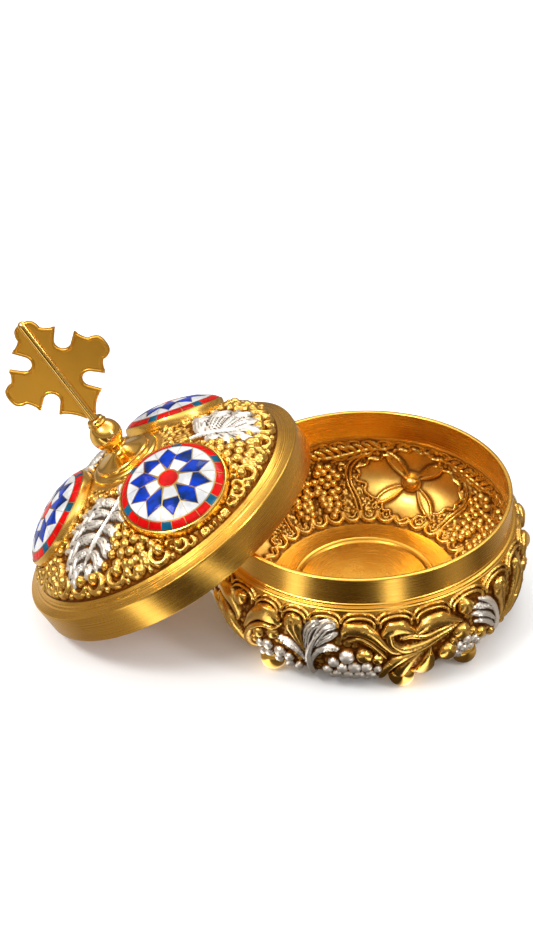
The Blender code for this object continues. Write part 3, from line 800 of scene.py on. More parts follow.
# Strokes of the frieze: kind, height, whether plated, and points as turn, way and half width
OUTER_STROKES = (
    ("rib", 2.0, 1, ((-112.0, 47.0, 0.9), (-110.2, 41.5, 1.0), (-109.8, 33.9, 1.12), (-109.7, 29.2, 1.11),
        (-108.2, 24.4, 0.84), (-106.1, 20.2, 0.58), (-103.9, 17.4, 0.3))),
    ("fan", 1.9, 1, ((-109.6, 30.1, 0.65), (-110.1, 24.9, 1.3), (-109.1, 19.6, 2.0), (-106.9, 16.9, 1.7),
        (-105.1, 16.2, 0.77))),
    ("fan", 2.0, 1, ((-108.1, 26.1, 0.65), (-106.1, 21.1, 1.93), (-103.6, 17.4, 2.4),
        (-101.5, 16.6, 1.92), (-99.8, 17.0, 0.77))),
    ("fan", 1.8, 1, ((-107.2, 25.9, 0.58), (-104.4, 22.4, 1.45), (-101.6, 20.2, 1.54),
        (-99.5, 19.2, 0.64))),
    ("fan", 2.0, 1, ((-109.4, 33.8, 0.53), (-107.5, 29.2, 0.98), (-105.0, 26.4, 1.23),
        (-102.1, 25.1, 1.49), (-99.7, 25.7, 0.71))),
    ("fan", 2.1, 1, ((-110.3, 38.9, 0.6), (-111.3, 31.7, 0.85), (-114.2, 27.9, 1.38),
        (-117.5, 26.1, 1.51), (-120.7, 25.6, 0.79))),
    ("round", 2.6, 0, ((-149.6, 20.0, 1.2), (-147.4, 17.8, 2.2), (-143.6, 18.4, 3.1), (-140.6, 20.9, 2.4),
        (-139.4, 24.6, 1.2), (-140.4, 28.2, 0.5))),
    ("leaf", 2.4, 0, ((-139.2, 41.0, 0.7), (-140.8, 35.4, 1.8), (-143.6, 30.4, 2.5), (-147.6, 26.2, 1.7),
        (-151.0, 23.4, 0.6))),
    ("round", 1.7, 0, ((-137.4, 42.0, 0.6), (-137.6, 37.0, 1.0), (-136.2, 32.4, 1.1),
        (-133.4, 28.6, 0.6))),
    ("leaf", 2.3, 0, ((-110.6, 29.1, 0.52), (-112.4, 24.7, 1.46), (-113.9, 20.9, 2.5),
        (-114.6, 18.2, 3.3), (-114.8, 17.2, 2.2))),
    ("round", 2.6, 0, ((-135.5, 27.4, 0.9), (-132.0, 22.4, 1.7), (-128.6, 19.2, 2.4), (-124.8, 17.8, 3.1),
        (-121.9, 18.6, 2.2), (-120.6, 20.2, 1.0))),
    ("round", 1.8, 0, ((-135.4, 30.0, 0.67), (-131.0, 25.4, 1.1), (-126.6, 22.9, 0.99),
        (-122.2, 22.4, 0.79), (-119.0, 20.0, 0.46))),
    ("round", 2.5, 0, ((-97.2, 20.0, 1.0), (-96.0, 17.8, 1.9), (-92.6, 17.2, 2.3), (-89.4, 18.2, 2.2),
        (-86.8, 20.4, 1.95), (-84.2, 23.6, 1.6), (-81.2, 26.6, 1.1), (-77.1, 28.0, 0.6))),
    ("round", 1.5, 0, ((-95.4, 21.8, 0.7), (-92.0, 20.8, 1.1), (-88.6, 22.8, 1.1), (-85.6, 26.2, 0.8),
        (-83.4, 29.6, 0.4))),
    ("round", 2.5, 0, ((-83.6, 19.4, 1.5), (-81.4, 17.8, 2.3), (-78.4, 17.6, 2.2), (-75.4, 18.9, 1.4),
        (-73.2, 20.3, 0.6))),
    ("round", 2.3, 0, ((-82.4, 19.4, 1.5), (-81.4, 23.2, 1.5), (-77.6, 25.9, 1.55), (-71.6, 25.5, 1.5),
        (-65.8, 23.9, 1.2), (-61.0, 22.9, 0.8), (-57.3, 22.4, 0.3))),
    ("round", 2.5, 0, ((-72.2, 20.0, 1.4), (-69.2, 18.4, 2.3), (-64.9, 17.9, 2.4), (-60.4, 19.4, 1.6),
        (-55.6, 22.2, 0.4))),
    ("round", 1.9, 0, ((-78.4, 21.6, 0.7), (-75.2, 21.2, 1.0), (-70.2, 22.4, 1.1), (-65.0, 21.6, 1.0),
        (-59.4, 21.4, 0.5))),
    ("round", 2.2, 0, ((-85.6, 44.0, 0.8), (-84.6, 38.6, 1.2), (-82.6, 33.5, 1.45), (-79.4, 30.3, 1.6),
        (-74.8, 28.6, 1.2), (-69.8, 27.5, 0.8), (-64.6, 25.4, 0.56), (-59.9, 23.9, 0.28))),
    ("round", 2.5, 0, ((-79.0, 42.4, 1.5), (-78.2, 38.4, 2.1), (-77.0, 34.8, 1.9), (-74.6, 31.3, 1.4),
        (-71.7, 29.2, 0.8), (-68.6, 27.9, 0.3))),
    ("round", 2.5, 0, ((-69.4, 42.6, 2.0), (-68.6, 38.3, 3.1), (-68.2, 33.6, 2.0), (-67.9, 30.6, 0.8),
        (-67.7, 28.5, 0.35))),
    ("rib", 2.0, 1, ((-43.4, 44.6, 0.6), (-39.4, 40.9, 0.8), (-36.6, 36.6, 0.95), (-37.5, 31.0, 0.94),
        (-40.6, 24.2, 1.21), (-44.2, 19.6, 1.2), (-47.9, 17.4, 0.56))),
    ("fan", 1.8, 1, ((-40.1, 25.9, 0.72), (-44.1, 22.0, 1.21), (-48.1, 20.0, 1.2), (-50.7, 19.7, 0.49))),
    ("fan", 1.8, 1, ((-39.2, 30.3, 0.72), (-44.5, 25.1, 1.21), (-48.5, 22.8, 1.2), (-50.9, 22.2, 0.49))),
    ("fan", 1.8, 1, ((-36.9, 35.7, 0.58), (-42.8, 29.4, 1.07), (-46.9, 26.4, 1.06), (-49.9, 25.7, 0.42))),
    ("leaf", 2.3, 0, ((-36.9, 17.2, 2.1), (-37.6, 19.0, 2.7), (-36.3, 22.9, 1.79), (-34.6, 28.2, 1.08),
        (-32.7, 35.0, 0.51))),
    ("round", 2.4, 0, ((-24.6, 17.4, 1.8), (-24.2, 19.6, 2.4), (-25.6, 23.6, 1.7), (-28.6, 29.4, 1.0),
        (-31.4, 35.0, 0.4))),
    ("round", 1.6, 0, ((-51.4, 17.4, 0.56), (-54.0, 18.8, 0.84), (-54.6, 20.9, 0.49))),
    ("round", 2.0, 0, ((-17.8, 25.4, 1.1), (-20.2, 29.7, 1.5), (-24.2, 34.0, 1.4), (-27.8, 38.5, 0.9),
        (-30.8, 43.0, 0.4))),
)

# Lines of the frieze's double arches: gap at each end, ways of foot and top, half width, height
FRIEZE_ARCHES = ((0.1, 15.7, 12.3, 0.50, 1.2), (1.0, 16.9, 13.9, 0.62, 1.25))

# Forms where the photograph shows none, before and after two turns: the copied silver leaf
# with the turns between which it grows, a lobe, a small leaf and a blade with their places,
# and a cluster of gold berries
HIDDEN_BEFORE, HIDDEN_AFTER = -160.0, -16.0
COPY_TURN = -58.0
COPY_FROM, COPY_TO = -123.0, -98.0
BERRIES_TO = -113.0
HIDDEN_LEAF_TURNS = (-5.0, 0.5, -147.0)
HIDDEN_BLADE_PLACES = ((-157.0, 29.0), (-151.0, 33.0), (-14.0, 29.0), (-17.0, 35.0))
HIDDEN_CLUSTER = (-153.0, 38.0)
HIDDEN_CLUSTER_ROWS = (2, 3, 3, 2)
HIDDEN_LOBE = ((1.5, 20.0, 1.2), (3.6, 17.9, 2.1), (7.0, 18.5, 2.9), (9.8, 20.9, 2.3),
               (10.9, 24.4, 1.2), (10.0, 27.6, 0.5))
HIDDEN_LEAF = ((0.0, 34.0, 0.5), (-3.6, 30.6, 1.5), (-5.0, 26.6, 1.3), (-4.2, 23.0, 0.5))
HIDDEN_BLADE = ((0.0, 0.0, 0.5), (2.6, -2.6, 1.7), (5.6, -1.4, 1.9), (7.6, 2.6, 1.1), (6.6, 6.4, 0.5))


def outer_carving(ways, columns):
    """Frieze of half the bowl's outside: scalloped arches over puffed lobes, with silver
    leaves, swept blades, buds and berries between them, and on the hidden part plain
    lobes, small leaves and a copy of one silver leaf with its berries."""
    carving = round_carving(OUTSIDE, 1.0, ways, columns, 180.0, -180.0)
    x, y = carving.x, carving.y
    ground = blurred(hash_noise(x * 9.0, y * 9.0, 3.0), 3.0)
    carving.height += 0.10 * (ground - 0.5)
    beads = granules(x * GRAIN_SCALE, y, OUTER_PITCH, 4.0)
    carving.height += 0.42 * beads * np.clip((y - 17.0) / 1.5, 0, 1)
    cusps = ARCH_CUSPS + (ARCH_CUSPS[0] + 180.0,)
    for left, right in zip(cusps[:-1], cusps[1:]):
        for gap, foot, top, half, height in FRIEZE_ARCHES:
            carving.arch(left + gap, right - gap, foot, top, half, height, 2.2)
        if right < HIDDEN_BEFORE or left > HIDDEN_AFTER:
            carving.stroke(moved(HIDDEN_LOBE, left), 2.5, base=0.5)
    for turn in HIDDEN_LEAF_TURNS:
        carving.stroke(moved(HIDDEN_LEAF, turn), 1.9, "leaf", base=0.5)
    for turn, way in HIDDEN_BLADE_PLACES:
        carving.stroke(moved(HIDDEN_BLADE, turn, way), 2.1, "leaf", base=0.5)
    for kind, height, plated, points in OUTER_STROKES:
        carving.stroke(points, height, kind, plated, base=0.5)
        if plated and COPY_FROM < points[0][0] < COPY_TO:
            carving.stroke(moved(points, COPY_TURN), height, kind, plated, base=0.5)
    copied = moved([berry for berry in OUTER_BERRIES_SILVER if berry[0] < BERRIES_TO], COPY_TURN)
    for turn, way, radius in OUTER_BERRIES_SILVER + copied:
        carving.berry(turn, way, radius * 1.1, 0.8, 1.0, 0.95)
    for turn, way, radius in OUTER_BERRIES_GOLD:
        carving.berry(turn, way, radius, 0.9, 0.0, 0.9)
    turn, way = HIDDEN_CLUSTER
    for row, count in enumerate(HIDDEN_CLUSTER_ROWS):
        for k in range(count):
            carving.berry(turn + (k - (count - 1) / 2) * 3.6, way + 2.9 * row, 1.6, 0.6)
    dents = blurred(hash_noise(x * 7.0, y * 7.0, 8.0), 3.4)
    carving.height += 1.1 * (dents - 0.5) * np.clip(carving.height - 0.8, 0, 1)
    carving.height *= np.clip((ways[-1] - y) / 2.5, 0, 1) * np.clip((y - ways[0]) / 0.8, 0, 1)
    return carving


def build_collar(looks):
    """Brushed collar with its rolled rim and the stepped line where the body begins."""
    depth = np.array([(50.0, 0.0), (50.0, 9.0), (50.35, 9.25), (50.35, 9.8), (51.2, 10.0),
                      (51.2, 10.55), (51.65, 10.8), (52.2, 13.4), (50.9, 13.6), (49.9, 12.9),
                      (49.0, 11.2), (48.55, 10.4), (48.55, 9.7), (48.4, 9.4), (48.4, 0.0)])
    profile = rounded(with_height(depth), (0.55, 0.1, 0.12, 0.12, 0.2, 0.15, 0.15, 0.1, 0.1, 0.1,
                                          0.3, 0.15, 0.15, 0.12, 0.55))
    shell = Shell()
    add_ring(shell, profile, 360)
    shell.build("bowl_collar", [looks["turned"]], "bowl", on_bowl, sharp=30.0)


def build_outer_frieze(looks):
    """Carved outside of the body."""
    ways = np.linspace(OUTER_TOP, measured(OUTSIDE)[-1], BODY_ROWS)
    carving = outer_carving(ways, BODY_COLUMNS // 2)
    build_body_ring("bowl_frieze", looks["carved"], OUTSIDE, 1.0, carving, 2.6, OUTER_SPLIT, -0.9)


# Turn and way of the flower's centre, and the degrees to a millimetre there
FLOWER = (67.1, 29.9)
FLOWER_SCALE = 57.2958 / 51.0


def from_flower(points, side=1.0):
    """Places given in millimetres beside and below the flower's centre, as turns and ways."""
    p = np.array(points, float)
    p[:, 0] = FLOWER[0] - side * p[:, 0] * FLOWER_SCALE
    p[:, 1] += FLOWER[1]
    return p


def by_flower(beside, below, side):
    """Turn and way of a single place by the flower."""
    return tuple(from_flower(((beside, below),), side)[0])


# Parts of the inside in millimetres right of and below the flower's centre: root and tip of
# each sepal, outlines of the petals, then on each side the stem, rows of grapes and curls
SEPALS = (((-2.4, -1.9), (-10.6, -11.4)), ((3.0, -2.5), (12.0, -9.7)),
          ((-3.3, 2.2), (-14.2, 10.2)), ((3.6, 2.4), (13.4, 11.6)))
PETALS = (
    ((-3.0, -1.6), (-8.5, -9.6), (-11.5, -9.9), (-13.6, -7.8), (-17.2, -8.2), (-18.4, -5.6), (-22.2, -4.6),
     (-21.0, -2.0), (-22.4, 0.6), (-18.6, 2.2), (-18.9, 5.0), (-15.6, 7.6), (-12.6, 8.0), (-3.4, 1.6)),
    ((3.4, -1.8), (12.6, -8.3), (15.0, -8.6), (17.0, -6.2), (20.0, -5.2), (20.6, -2.4), (22.6, -0.2),
     (21.2, 2.2), (21.6, 4.6), (18.0, 5.6), (16.8, 8.2), (14.0, 9.4), (3.8, 1.8)),
    ((-1.4, -2.8), (-8.0, -11.6), (-5.2, -13.6), (-2.6, -13.0), (0.4, -15.0), (2.8, -13.2), (5.6, -14.2),
     (7.6, -12.0), (10.6, -12.2), (10.4, -9.6), (2.2, -2.8)),
    ((-2.2, 2.8), (-11.0, 10.4), (-9.8, 13.0), (-7.0, 12.6), (-5.6, 15.2), (-2.6, 14.6), (0.0, 16.6),
     (3.2, 14.8), (6.0, 15.4), (7.6, 12.6), (10.6, 12.4), (2.6, 3.0)),
)
STEM = ((11.0, -12.6, 0.7), (17.5, -12.4, 0.8), (24.0, -10.6, 0.9), (31.0, -9.6, 0.8), (38.5, -10.4, 0.5))
GRAPE_ROWS = (2, 3, 4, 3, 4, 3, 3, 2, 1)
SMALL_CURLS = ((16.5, 8.4), (19.0, 11.4), (14.2, 11.0), (10.8, 13.0), (16.4, 13.8), (24.4, 13.4),
               (21.4, 14.8), (28.4, 15.4), (31.8, 15.8))


def bordered(points, half):
    """Points with a half width, for a raised line along them."""
    return np.column_stack([np.asarray(points, float), np.full(len(points), half)])


# Small arches along the upper edge and scallops along the lower one, in a quarter
EDGE_ARCHES = 13
SCALLOPS = 9
SEPAL_FORMS = (
    # kind, height, veins, and shares of the way from root to tip with half widths
    ("cup", 1.25, 0, ((0.0, 0.9), (0.25, 2.0), (0.5, 2.5), (0.75, 2.0), (0.96, 0.5))),
    ("leaf", 0.95, 9, ((0.12, 0.4), (0.3, 1.0), (0.5, 1.35), (0.72, 1.0), (0.88, 0.3))),
)


def inner_carving(ways, columns):
    """Branch of the bowl's inside: a four-petalled flower with veined sepals between
    feathered leaves and hanging clusters of grapes, over a border of scallops."""
    carving = round_carving(INSIDE, -1.0, ways, columns, 90.0, 0.0)
    x, y = carving.x, carving.y
    band = np.clip((y - 13.0) / 1.5, 0, 1) * np.clip((47.0 - y) / 1.0, 0, 1)
    carving.height += 0.5 * band * granules(x * GRAIN_SCALE, y, INNER_PITCH, 5.0)
    for k in range(EDGE_ARCHES):
        left = 90.0 * k / EDGE_ARCHES
        carving.arch(left + 0.3, left + 6.6, 14.6, 12.9, 0.34, 0.6)
    for k in range(SCALLOPS):
        left = 90.0 * k / SCALLOPS + 1.0
        carving.arch(left + 0.6, left + 9.4, 44.6, 47.9, 0.95, 1.5)
        carving.arch(left + 2.9, left + 7.1, 44.0, 45.8, 0.50, 0.9)
        carving.berry(left, 43.9, 1.25, 0.5)
    for side in (-1.0, 1.0):
        for k in range(9):
            at = 12.5 + 3.0 * k
            drop = -12.6 + 0.20 * (at - 12.0) * (1 - 0.3 * (at > 24))
            upper = ((at, drop, 0.45), (at + 1.8, drop - 2.4, 1.05), (at + 4.4, drop - 3.9, 0.5))
            carving.stroke(from_flower(upper, side), 1.1, "leaf", base=0.4)
            if 1 <= k <= 5:
                lower = ((at, drop, 0.4), (at + 2.0, drop + 2.0, 0.85), (at + 4.2, drop + 2.9, 0.4))
                carving.stroke(from_flower(lower, side), 0.9, "leaf", base=0.4)
        carving.stroke(from_flower(STEM, side), 1.0, base=0.5)
        for shift in (0.0, 2.0):
            line = ((18.4 + shift, -10.4, 0.4), (23.6 + shift, -5.6, 0.55), (24.6 + shift * 0.7, 1.0, 0.55),
                    (21.6 + shift, 8.0, 0.5), (20.4 + shift, 13.4, 0.45))
            carving.stroke(from_flower(line, side), 0.95, base=0.5)
        middle = 35.0 if side < 0 else 33.0
        for row, count in enumerate(GRAPE_ROWS):
            for k in range(count):
                at = middle + (k - (count - 1) / 2) * 3.15 + 0.35 * math.sin(5.1 * row + 2.7 * k)
                drop = -6.2 + row * 2.6 + 0.5 * math.cos(1.7 * k + row)
                carving.berry(*by_flower(at, drop, side), 1.72, 0.75, swell=0.9)
        for k in range(6):
            place = by_flower(27.6 + 0.3 * k, -5.0 + 4.0 * k, side)
            carving.curl(*place, 1.5, 90.0, side, 0.36, 0.8)
        for k, (at, drop) in enumerate(SMALL_CURLS):
            carving.curl(*by_flower(at, drop, side), 1.35, 50.0 * k, side, 0.34, 0.75)
    for outline in PETALS:
        carving.plate(from_flower(outline), 0.10, 0.75)
    for outline in PETALS:
        carving.stroke(from_flower(bordered(outline[1:-1], 0.55)), 0.85, base=0.55)
    for root, tip in SEPALS:
        root, tip = np.array(root), np.array(tip)
        for kind, height, veins, widths in SEPAL_FORMS:
            line = [(*(root + (tip - root) * t), half) for t, half in widths]
            carving.stroke(from_flower(line), height, kind, base=0.75, veins=veins)
    carving.berry(*FLOWER, 3.9, 0.9, swell=0.40)
    carving.berry(*FLOWER, 3.3, 1.5, swell=0.75)
    carving.height *= np.clip((y - ways[0]) / 1.0, 0, 1)
    return carving


def build_inner_branch(looks):
    """Carved inside of the body."""
    ways = np.linspace(INNER_TOP, INNER_END, BODY_ROWS)
    carving = inner_carving(ways, BODY_COLUMNS // 4)
    build_body_ring("bowl_branch", looks["carved_inside"], INSIDE, -1.0, carving, 2.4, INNER_SPLIT, -0.8)


def build_well(looks):
    """Plain lower wall, double ring and floor inside, with the flat underside."""
    ways = np.linspace(INNER_END - 0.4, measured(INSIDE)[-1], 14)
    wall, _ = points_along(INSIDE, ways, -1.0)
    ring = np.array([(25.6, 0.0), (25.3, 0.35), (24.9, 0.62), (24.4, 0.5), (24.1, 0.3), (23.8, 0.55),
                     (23.3, 0.62), (22.9, 0.35), (22.6, 0.02), (20.0, 0.0), (10.0, 0.0), (0.0, 0.0)])
    ring[:, 1] += RIM_Z - FLOOR_DEPTH
    under = np.array([(0.0, 2.0), (20.0, 2.0), (38.0, 2.0), (38.8, 2.15), (39.2, 2.5)])
    top = wall[0] + np.array([0.4, -0.3])
    profile = np.concatenate([ring[::-1], wall[::-1], [top], under[::-1]])
    shell = Shell()
    add_turned(shell, profile, 240)
    shell.build("bowl_well", [looks["well"]], "bowl", on_bowl, sharp=30.0)


def build_feet(looks):
    """Six polished ball feet, each with a flat spot underneath."""
    turn = np.linspace(0.0, math.pi, 28)
    ball = np.stack([FOOT_R * np.sin(turn), np.maximum(FOOT_LIFT - FOOT_R * np.cos(turn), 0.0)], -1)
    for number, angle in enumerate(FOOT_TURNS):
        shell = Shell()
        add_turned(shell, ball, 48)
        a = math.radians(angle)
        place = np.array([FOOT_CIRCLE * math.cos(a), FOOT_CIRCLE * math.sin(a), 0.0])
        shell.build(f"ball_foot_{number + 1}", [looks["polished"]], f"foot_{number + 1}",
                    lambda p, place=place: on_bowl(p + place))


# Lid


def build_lid_band(looks):
    """Brushed band of the lid with its sharp upper edge, ledge and fine step lines."""
    profile = np.array([
        (54.5, 0.0), (54.5, 9.6), (54.35, 10.15), (53.9, 10.25), (51.5, 10.9), (51.35, 11.35),
        (51.0, 11.5), (50.5, 11.6), (50.3, 12.0), (49.9, 12.15), (48.6, 12.95), (47.4, 13.3),
        (47.0, 11.6), (48.8, 10.6), (53.2, 9.0), (53.2, 0.0)])
    shell = Shell()
    add_ring(shell, rounded(profile, (0.2, 0.15, 0.15, 0.2, 0.15, 0.12, 0.12, 0.12, 0.12, 0.2,
                                      0.3, 0.2, 0.2, 0.3, 0.5, 0.3)), 380)
    shell.build("lid_band", [looks["turned"]], "lid", on_lid, sharp=28.0)


def leaf_fingers(places, height, half):
    """Strokes of a leaf's fingers, from the places of each one's root, middle and tip."""
    return tuple(("fan", height, ((a, b, 1.1), (c, d, half), (e, f, 0.5))) for a, b, c, d, e, f in places)


# Root, middle and tip of each finger, in millimetres right of and out from the dome's middle
SLANTED_FINGERS = (
    (8.4, 23.0, 3.7, 21.7, -2.5, 21.4), (7.1, 26.1, 0.6, 25.2, -7.2, 27.5),
    (5.6, 28.9, -2.8, 29.1, -11.0, 32.4), (3.6, 33.1, -4.1, 34.0, -12.2, 39.7),
    (1.0, 37.9, -4.7, 39.4, -10.4, 45.2), (-1.5, 42.1, -4.6, 44.1, -6.9, 49.4),
    (10.2, 18.4, 9.3, 17.0, 6.8, 15.8), (9.0, 21.9, 11.2, 20.0, 12.7, 15.9),
    (7.6, 25.0, 12.1, 22.6, 13.3, 21.0), (6.5, 27.2, 10.9, 27.2, 13.0, 28.4),
    (4.8, 30.8, 8.4, 31.8, 11.1, 34.1), (2.8, 34.3, 6.7, 36.6, 8.9, 40.5),
    (0.6, 38.4, 4.2, 40.7, 5.5, 45.5), (-1.7, 42.9, 0.8, 44.7, 0.2, 47.2),
)
LEAF_SLANTED = leaf_fingers(SLANTED_FINGERS, 2.1, 2.35) + (
    ("rib", 1.95, ((11.5, 14.4, 0.5), (10.0, 19.3, 1.1), (7.9, 24.4, 0.8), (5.4, 29.7, 0.8),
        (2.2, 36.0, 1.1), (-1.4, 42.3, 0.6), (-4.1, 47.9, 0.4))),
)
SPREAD_FINGERS = (
    (-5.5, 28.3, 1.4, 27.9, 6.7, 28.4), (-5.4, 30.6, 3.9, 33.5, 11.0, 35.6),
    (-5.3, 34.3, 2.6, 39.7, 9.4, 43.0), (-5.6, 37.0, -1.8, 43.3, -0.1, 48.0),
    (-6.1, 38.3, -5.6, 43.4, -6.1, 47.7), (-7.2, 37.1, -10.1, 41.1, -12.4, 43.7),
    (-7.2, 33.9, -9.9, 35.6, -13.1, 38.4), (-6.7, 30.8, -9.0, 31.7, -10.7, 33.1),
)
SPREAD_RIDGES = (
    (-5.3, 29.2, 2.8, 30.2, 8.7, 31.8), (-5.2, 32.5, 3.4, 36.1, 7.5, 38.4),
    (-5.4, 36.1, 0.4, 41.5, 4.1, 45.5),
)
LEAF_SPREAD = leaf_fingers(SPREAD_FINGERS, 2.1, 2.6) + leaf_fingers(SPREAD_RIDGES, 1.5, 1.9) + (
    ("rib", 1.95, ((-6.3, 24.4, 0.5), (-5.8, 28.7, 0.8), (-5.7, 33.3, 0.9), (-5.9, 38.3, 1.1),
        (-5.6, 43.4, 0.4))),
)
# Grapes of the dome in the same millimetres, with their radius
GRAPES_RIGHT = (
    (12.0, 34.0, 1.5), (15.2, 33.7, 1.6), (18.3, 31.9, 1.6), (21.9, 31.9, 1.5), (12.0, 37.4, 1.6),
    (15.5, 37.0, 1.7), (18.9, 35.5, 1.7), (22.4, 35.1, 1.7), (25.6, 36.9, 1.6), (14.7, 40.1, 1.7),
    (18.1, 39.6, 1.8), (21.4, 38.5, 1.8), (13.6, 43.6, 1.8), (17.2, 43.6, 1.9), (20.5, 42.2, 1.7),
    (23.3, 40.9, 1.7), (17.8, 46.1, 1.6), (22.0, 45.6, 1.9), (11.3, 31.3, 1.3), (14.6, 30.5, 1.4),
    (17.7, 28.9, 1.4), (10.7, 40.2, 1.4), (10.6, 35.5, 1.3), (24.6, 43.1, 1.5),
)
GRAPES_LEFT = (
    (-17.2, 34.4, 1.4), (-20.2, 36.4, 1.4), (-23.6, 36.5, 1.4), (-26.8, 37.1, 1.3),
    (-17.5, 37.7, 1.4), (-20.4, 39.7, 1.5), (-23.9, 40.1, 1.4), (-27.3, 40.7, 1.3),
    (-15.3, 40.2, 1.4), (-17.7, 42.2, 1.5), (-20.9, 42.8, 1.5), (-24.2, 43.3, 1.4),
    (-15.1, 43.7, 1.4), (-17.9, 45.6, 1.5), (-21.2, 45.9, 1.4), (-15.3, 47.2, 1.4),
    (-18.1, 48.6, 1.4), (-12.8, 46.6, 1.3), (-30.0, 38.6, 1.2), (-18.2, 31.3, 1.2),
    (-21.2, 33.2, 1.3), (-24.6, 33.4, 1.3), (-27.8, 33.8, 1.2),
)


# Scrolls of the dome's border by tens of degrees from the leaf's axis, where they have less
# and less room: distance from the middle, size and half width. Then the distances of beads.
BORDER_SCROLLS = ((48.6, 3.6, 1.35), (48.6, 3.6, 1.35), (48.6, 3.6, 1.35), (48.9, 3.5, 1.3),
                  (50.4, 2.5, 1.0), (51.7, 1.5, 0.7))
OUTER_BEADS, INNER_BEADS, SEAT_BEADS = 52.1, 44.4, 17.4


def around(far, turn):
    """Place on the dome, at a distance from its middle and a turn from the leaf's axis."""
    a = math.radians(turn)
    return far * math.sin(a), far * math.cos(a)


def lid_carving(reach, columns, leaf, second):
    """Third of the dome between two medallions: a silver leaf, grapes, and scrolls along
    the border over a ground of beads and curls. The second kind has its grapes mirrored."""
    turn = (np.arange(columns) + 0.5) / columns * 120.0 - 60.0
    angle = np.radians(turn)[None, :]
    x, y = reach[:, None] * np.sin(angle), reach[:, None] * np.cos(angle)
    carving = Carving(x, y)
    inner = np.clip((46.0 - reach[:, None]) / 2.0, 0, 1)
    carving.height += 0.42 * inner * granules(x, y, DOME_PITCH, 9.0 + second) ** 1.3
    spot = DOME_R * math.asin(MEDALLION_PLACE / DOME_R)
    ring = MEDALLION_R + 2.4
    for side in (-1.0, 1.0):
        cx, cy = around(spot, side * 60.0)
        for k in range(16):
            a = math.radians(-100.0 + 17.0 * k) if side < 0 else math.radians(280.0 - 17.0 * k)
            px, py = cx + ring * math.cos(a), cy + ring * math.sin(a)
            if math.hypot(px, py) > 20.0 and abs(math.degrees(math.atan2(px, py))) < 60.0:
                carving.curl(px, py, 2.4, 200.0 + 57.0 * k, side * (-1) ** k, 0.60, 1.2)
    for k in range(12):
        turn = -55.0 + 10.0 * k
        out, size, half = BORDER_SCROLLS[min(int(abs(turn) // 10), 5)]
        sense = 1.0 if k % 2 else -1.0
        carving.curl(*around(out, turn), size, 90.0 - turn - sense * 70.0, sense, half, 1.35 * half)
        carving.berry(*around(OUTER_BEADS, turn + 5.0), 1.05, 0.5)
        if abs(turn + 5.0) < 45.0:
            carving.berry(*around(INNER_BEADS, turn + 5.0), 1.5, 0.6)
    for k in range(14):
        carving.berry(*around(SEAT_BEADS + 0.9 * (k % 2), -58.0 + 8.6 * k), 1.15, 0.3)
    for right, out, radius in GRAPES_RIGHT + GRAPES_LEFT:
        carving.berry(-right if second else right, out, radius * 1.12, 0.75, swell=0.95)
    for kind, height, points in leaf:
        carving.stroke(points, height, kind, 1.0, base=0.7)
        if kind == "fan":
            side_fingers(carving, points, height)
    for side in (-1.0, 1.0):
        cx, cy = around(spot, side * 60.0)
        carving.height *= np.clip((np.hypot(x - cx, y - cy) - MEDALLION_R - 0.35) / 0.6, 0, 1)
    carving.height *= np.clip((reach[0] - reach[:, None]) / 0.9, 0, 1)
    carving.height *= np.clip((reach[:, None] - 14.2) / 0.6, 0, 1)
    return carving


def side_fingers(carving, points, height):
    """Four small lobes that leave a leaf's finger, two on each side."""
    root, middle, tip = (np.array(point[:2]) for point in points)
    half = points[1][2]
    for share in (0.15, 0.5):
        start = middle + (tip - middle) * share
        along = (tip - root) * (0.34 - 0.12 * share)
        for side in (-1.0, 1.0):
            away = np.array([-along[1], along[0]]) * side * 0.62
            carving.stroke(((*start, half * 0.5), (*(start + along * 0.5 + away * 0.7), half * 0.42),
                            (*(start + along + away), 0.3)), height * 0.9, "round", 1.0, base=0.6)


def build_lid_dome(looks):
    """Carved dome over its plain inside, closed at the middle."""
    reach = np.linspace(DOME_R * math.asin(BORDER_R / DOME_R), 10.0, DOME_ROWS)
    slanted = lid_carving(reach, DOME_COLUMNS // 3, LEAF_SLANTED, False)
    spread = lid_carving(reach, DOME_COLUMNS // 3, LEAF_SPREAD, True)
    thirds = (slanted, spread, slanted)
    height = np.concatenate([third.height for third in thirds], 1)
    plated = np.concatenate([third.plated for third in thirds], 1)
    middle = math.radians(MEDALLION_TURN + 60.0)
    angle = middle - math.pi / 3 + (np.arange(DOME_COLUMNS) + 0.5) / DOME_COLUMNS * math.tau
    slope = reach / DOME_R
    r = (DOME_R + height) * np.sin(slope)[:, None]
    z = DOME_Z + (DOME_R + height) * np.cos(slope)[:, None]
    front = np.stack([r * np.cos(angle), r * np.sin(angle), z], -1)
    back_r = np.concatenate([np.linspace(0.08, 0.93, 8) * BORDER_R, [48.6]])[:, None]
    back_z = np.concatenate([DOME_Z + np.sqrt((DOME_R - DOME_WALL) ** 2 - back_r[:-1, 0] ** 2), [11.4]])
    back = np.stack([back_r * np.cos(angle), back_r * np.sin(angle), back_z[:, None] + 0.0 * angle], -1)
    plain = np.zeros(len(back) * DOME_COLUMNS)
    marks = {key: np.concatenate([plain, field.ravel(), [0.0, 0.0]])
             for key, field in relief_marks(height, plated, 2.4).items()}
    shell = Shell()
    add_capped(shell, np.concatenate([back, front]), (0.0, 0.0, DOME_Z + DOME_R - DOME_WALL),
               (0.0, 0.0, SEAT_Z), marks=marks)
    shell.build("lid_dome", [looks["carved"]], "lid", on_lid)


# Medallions


def medallion_place(turn):
    """Function that puts a medallion's points on the dome, its Z along the dome's normal."""
    slope = math.asin(MEDALLION_PLACE / DOME_R)
    matrix = turn_z(math.radians(turn)) @ turn_y(slope)

    def place(points):
        return on_lid((points + np.array([0.0, 0.0, DOME_R])) @ matrix.T + np.array([0.0, 0.0, DOME_Z]))
    return place


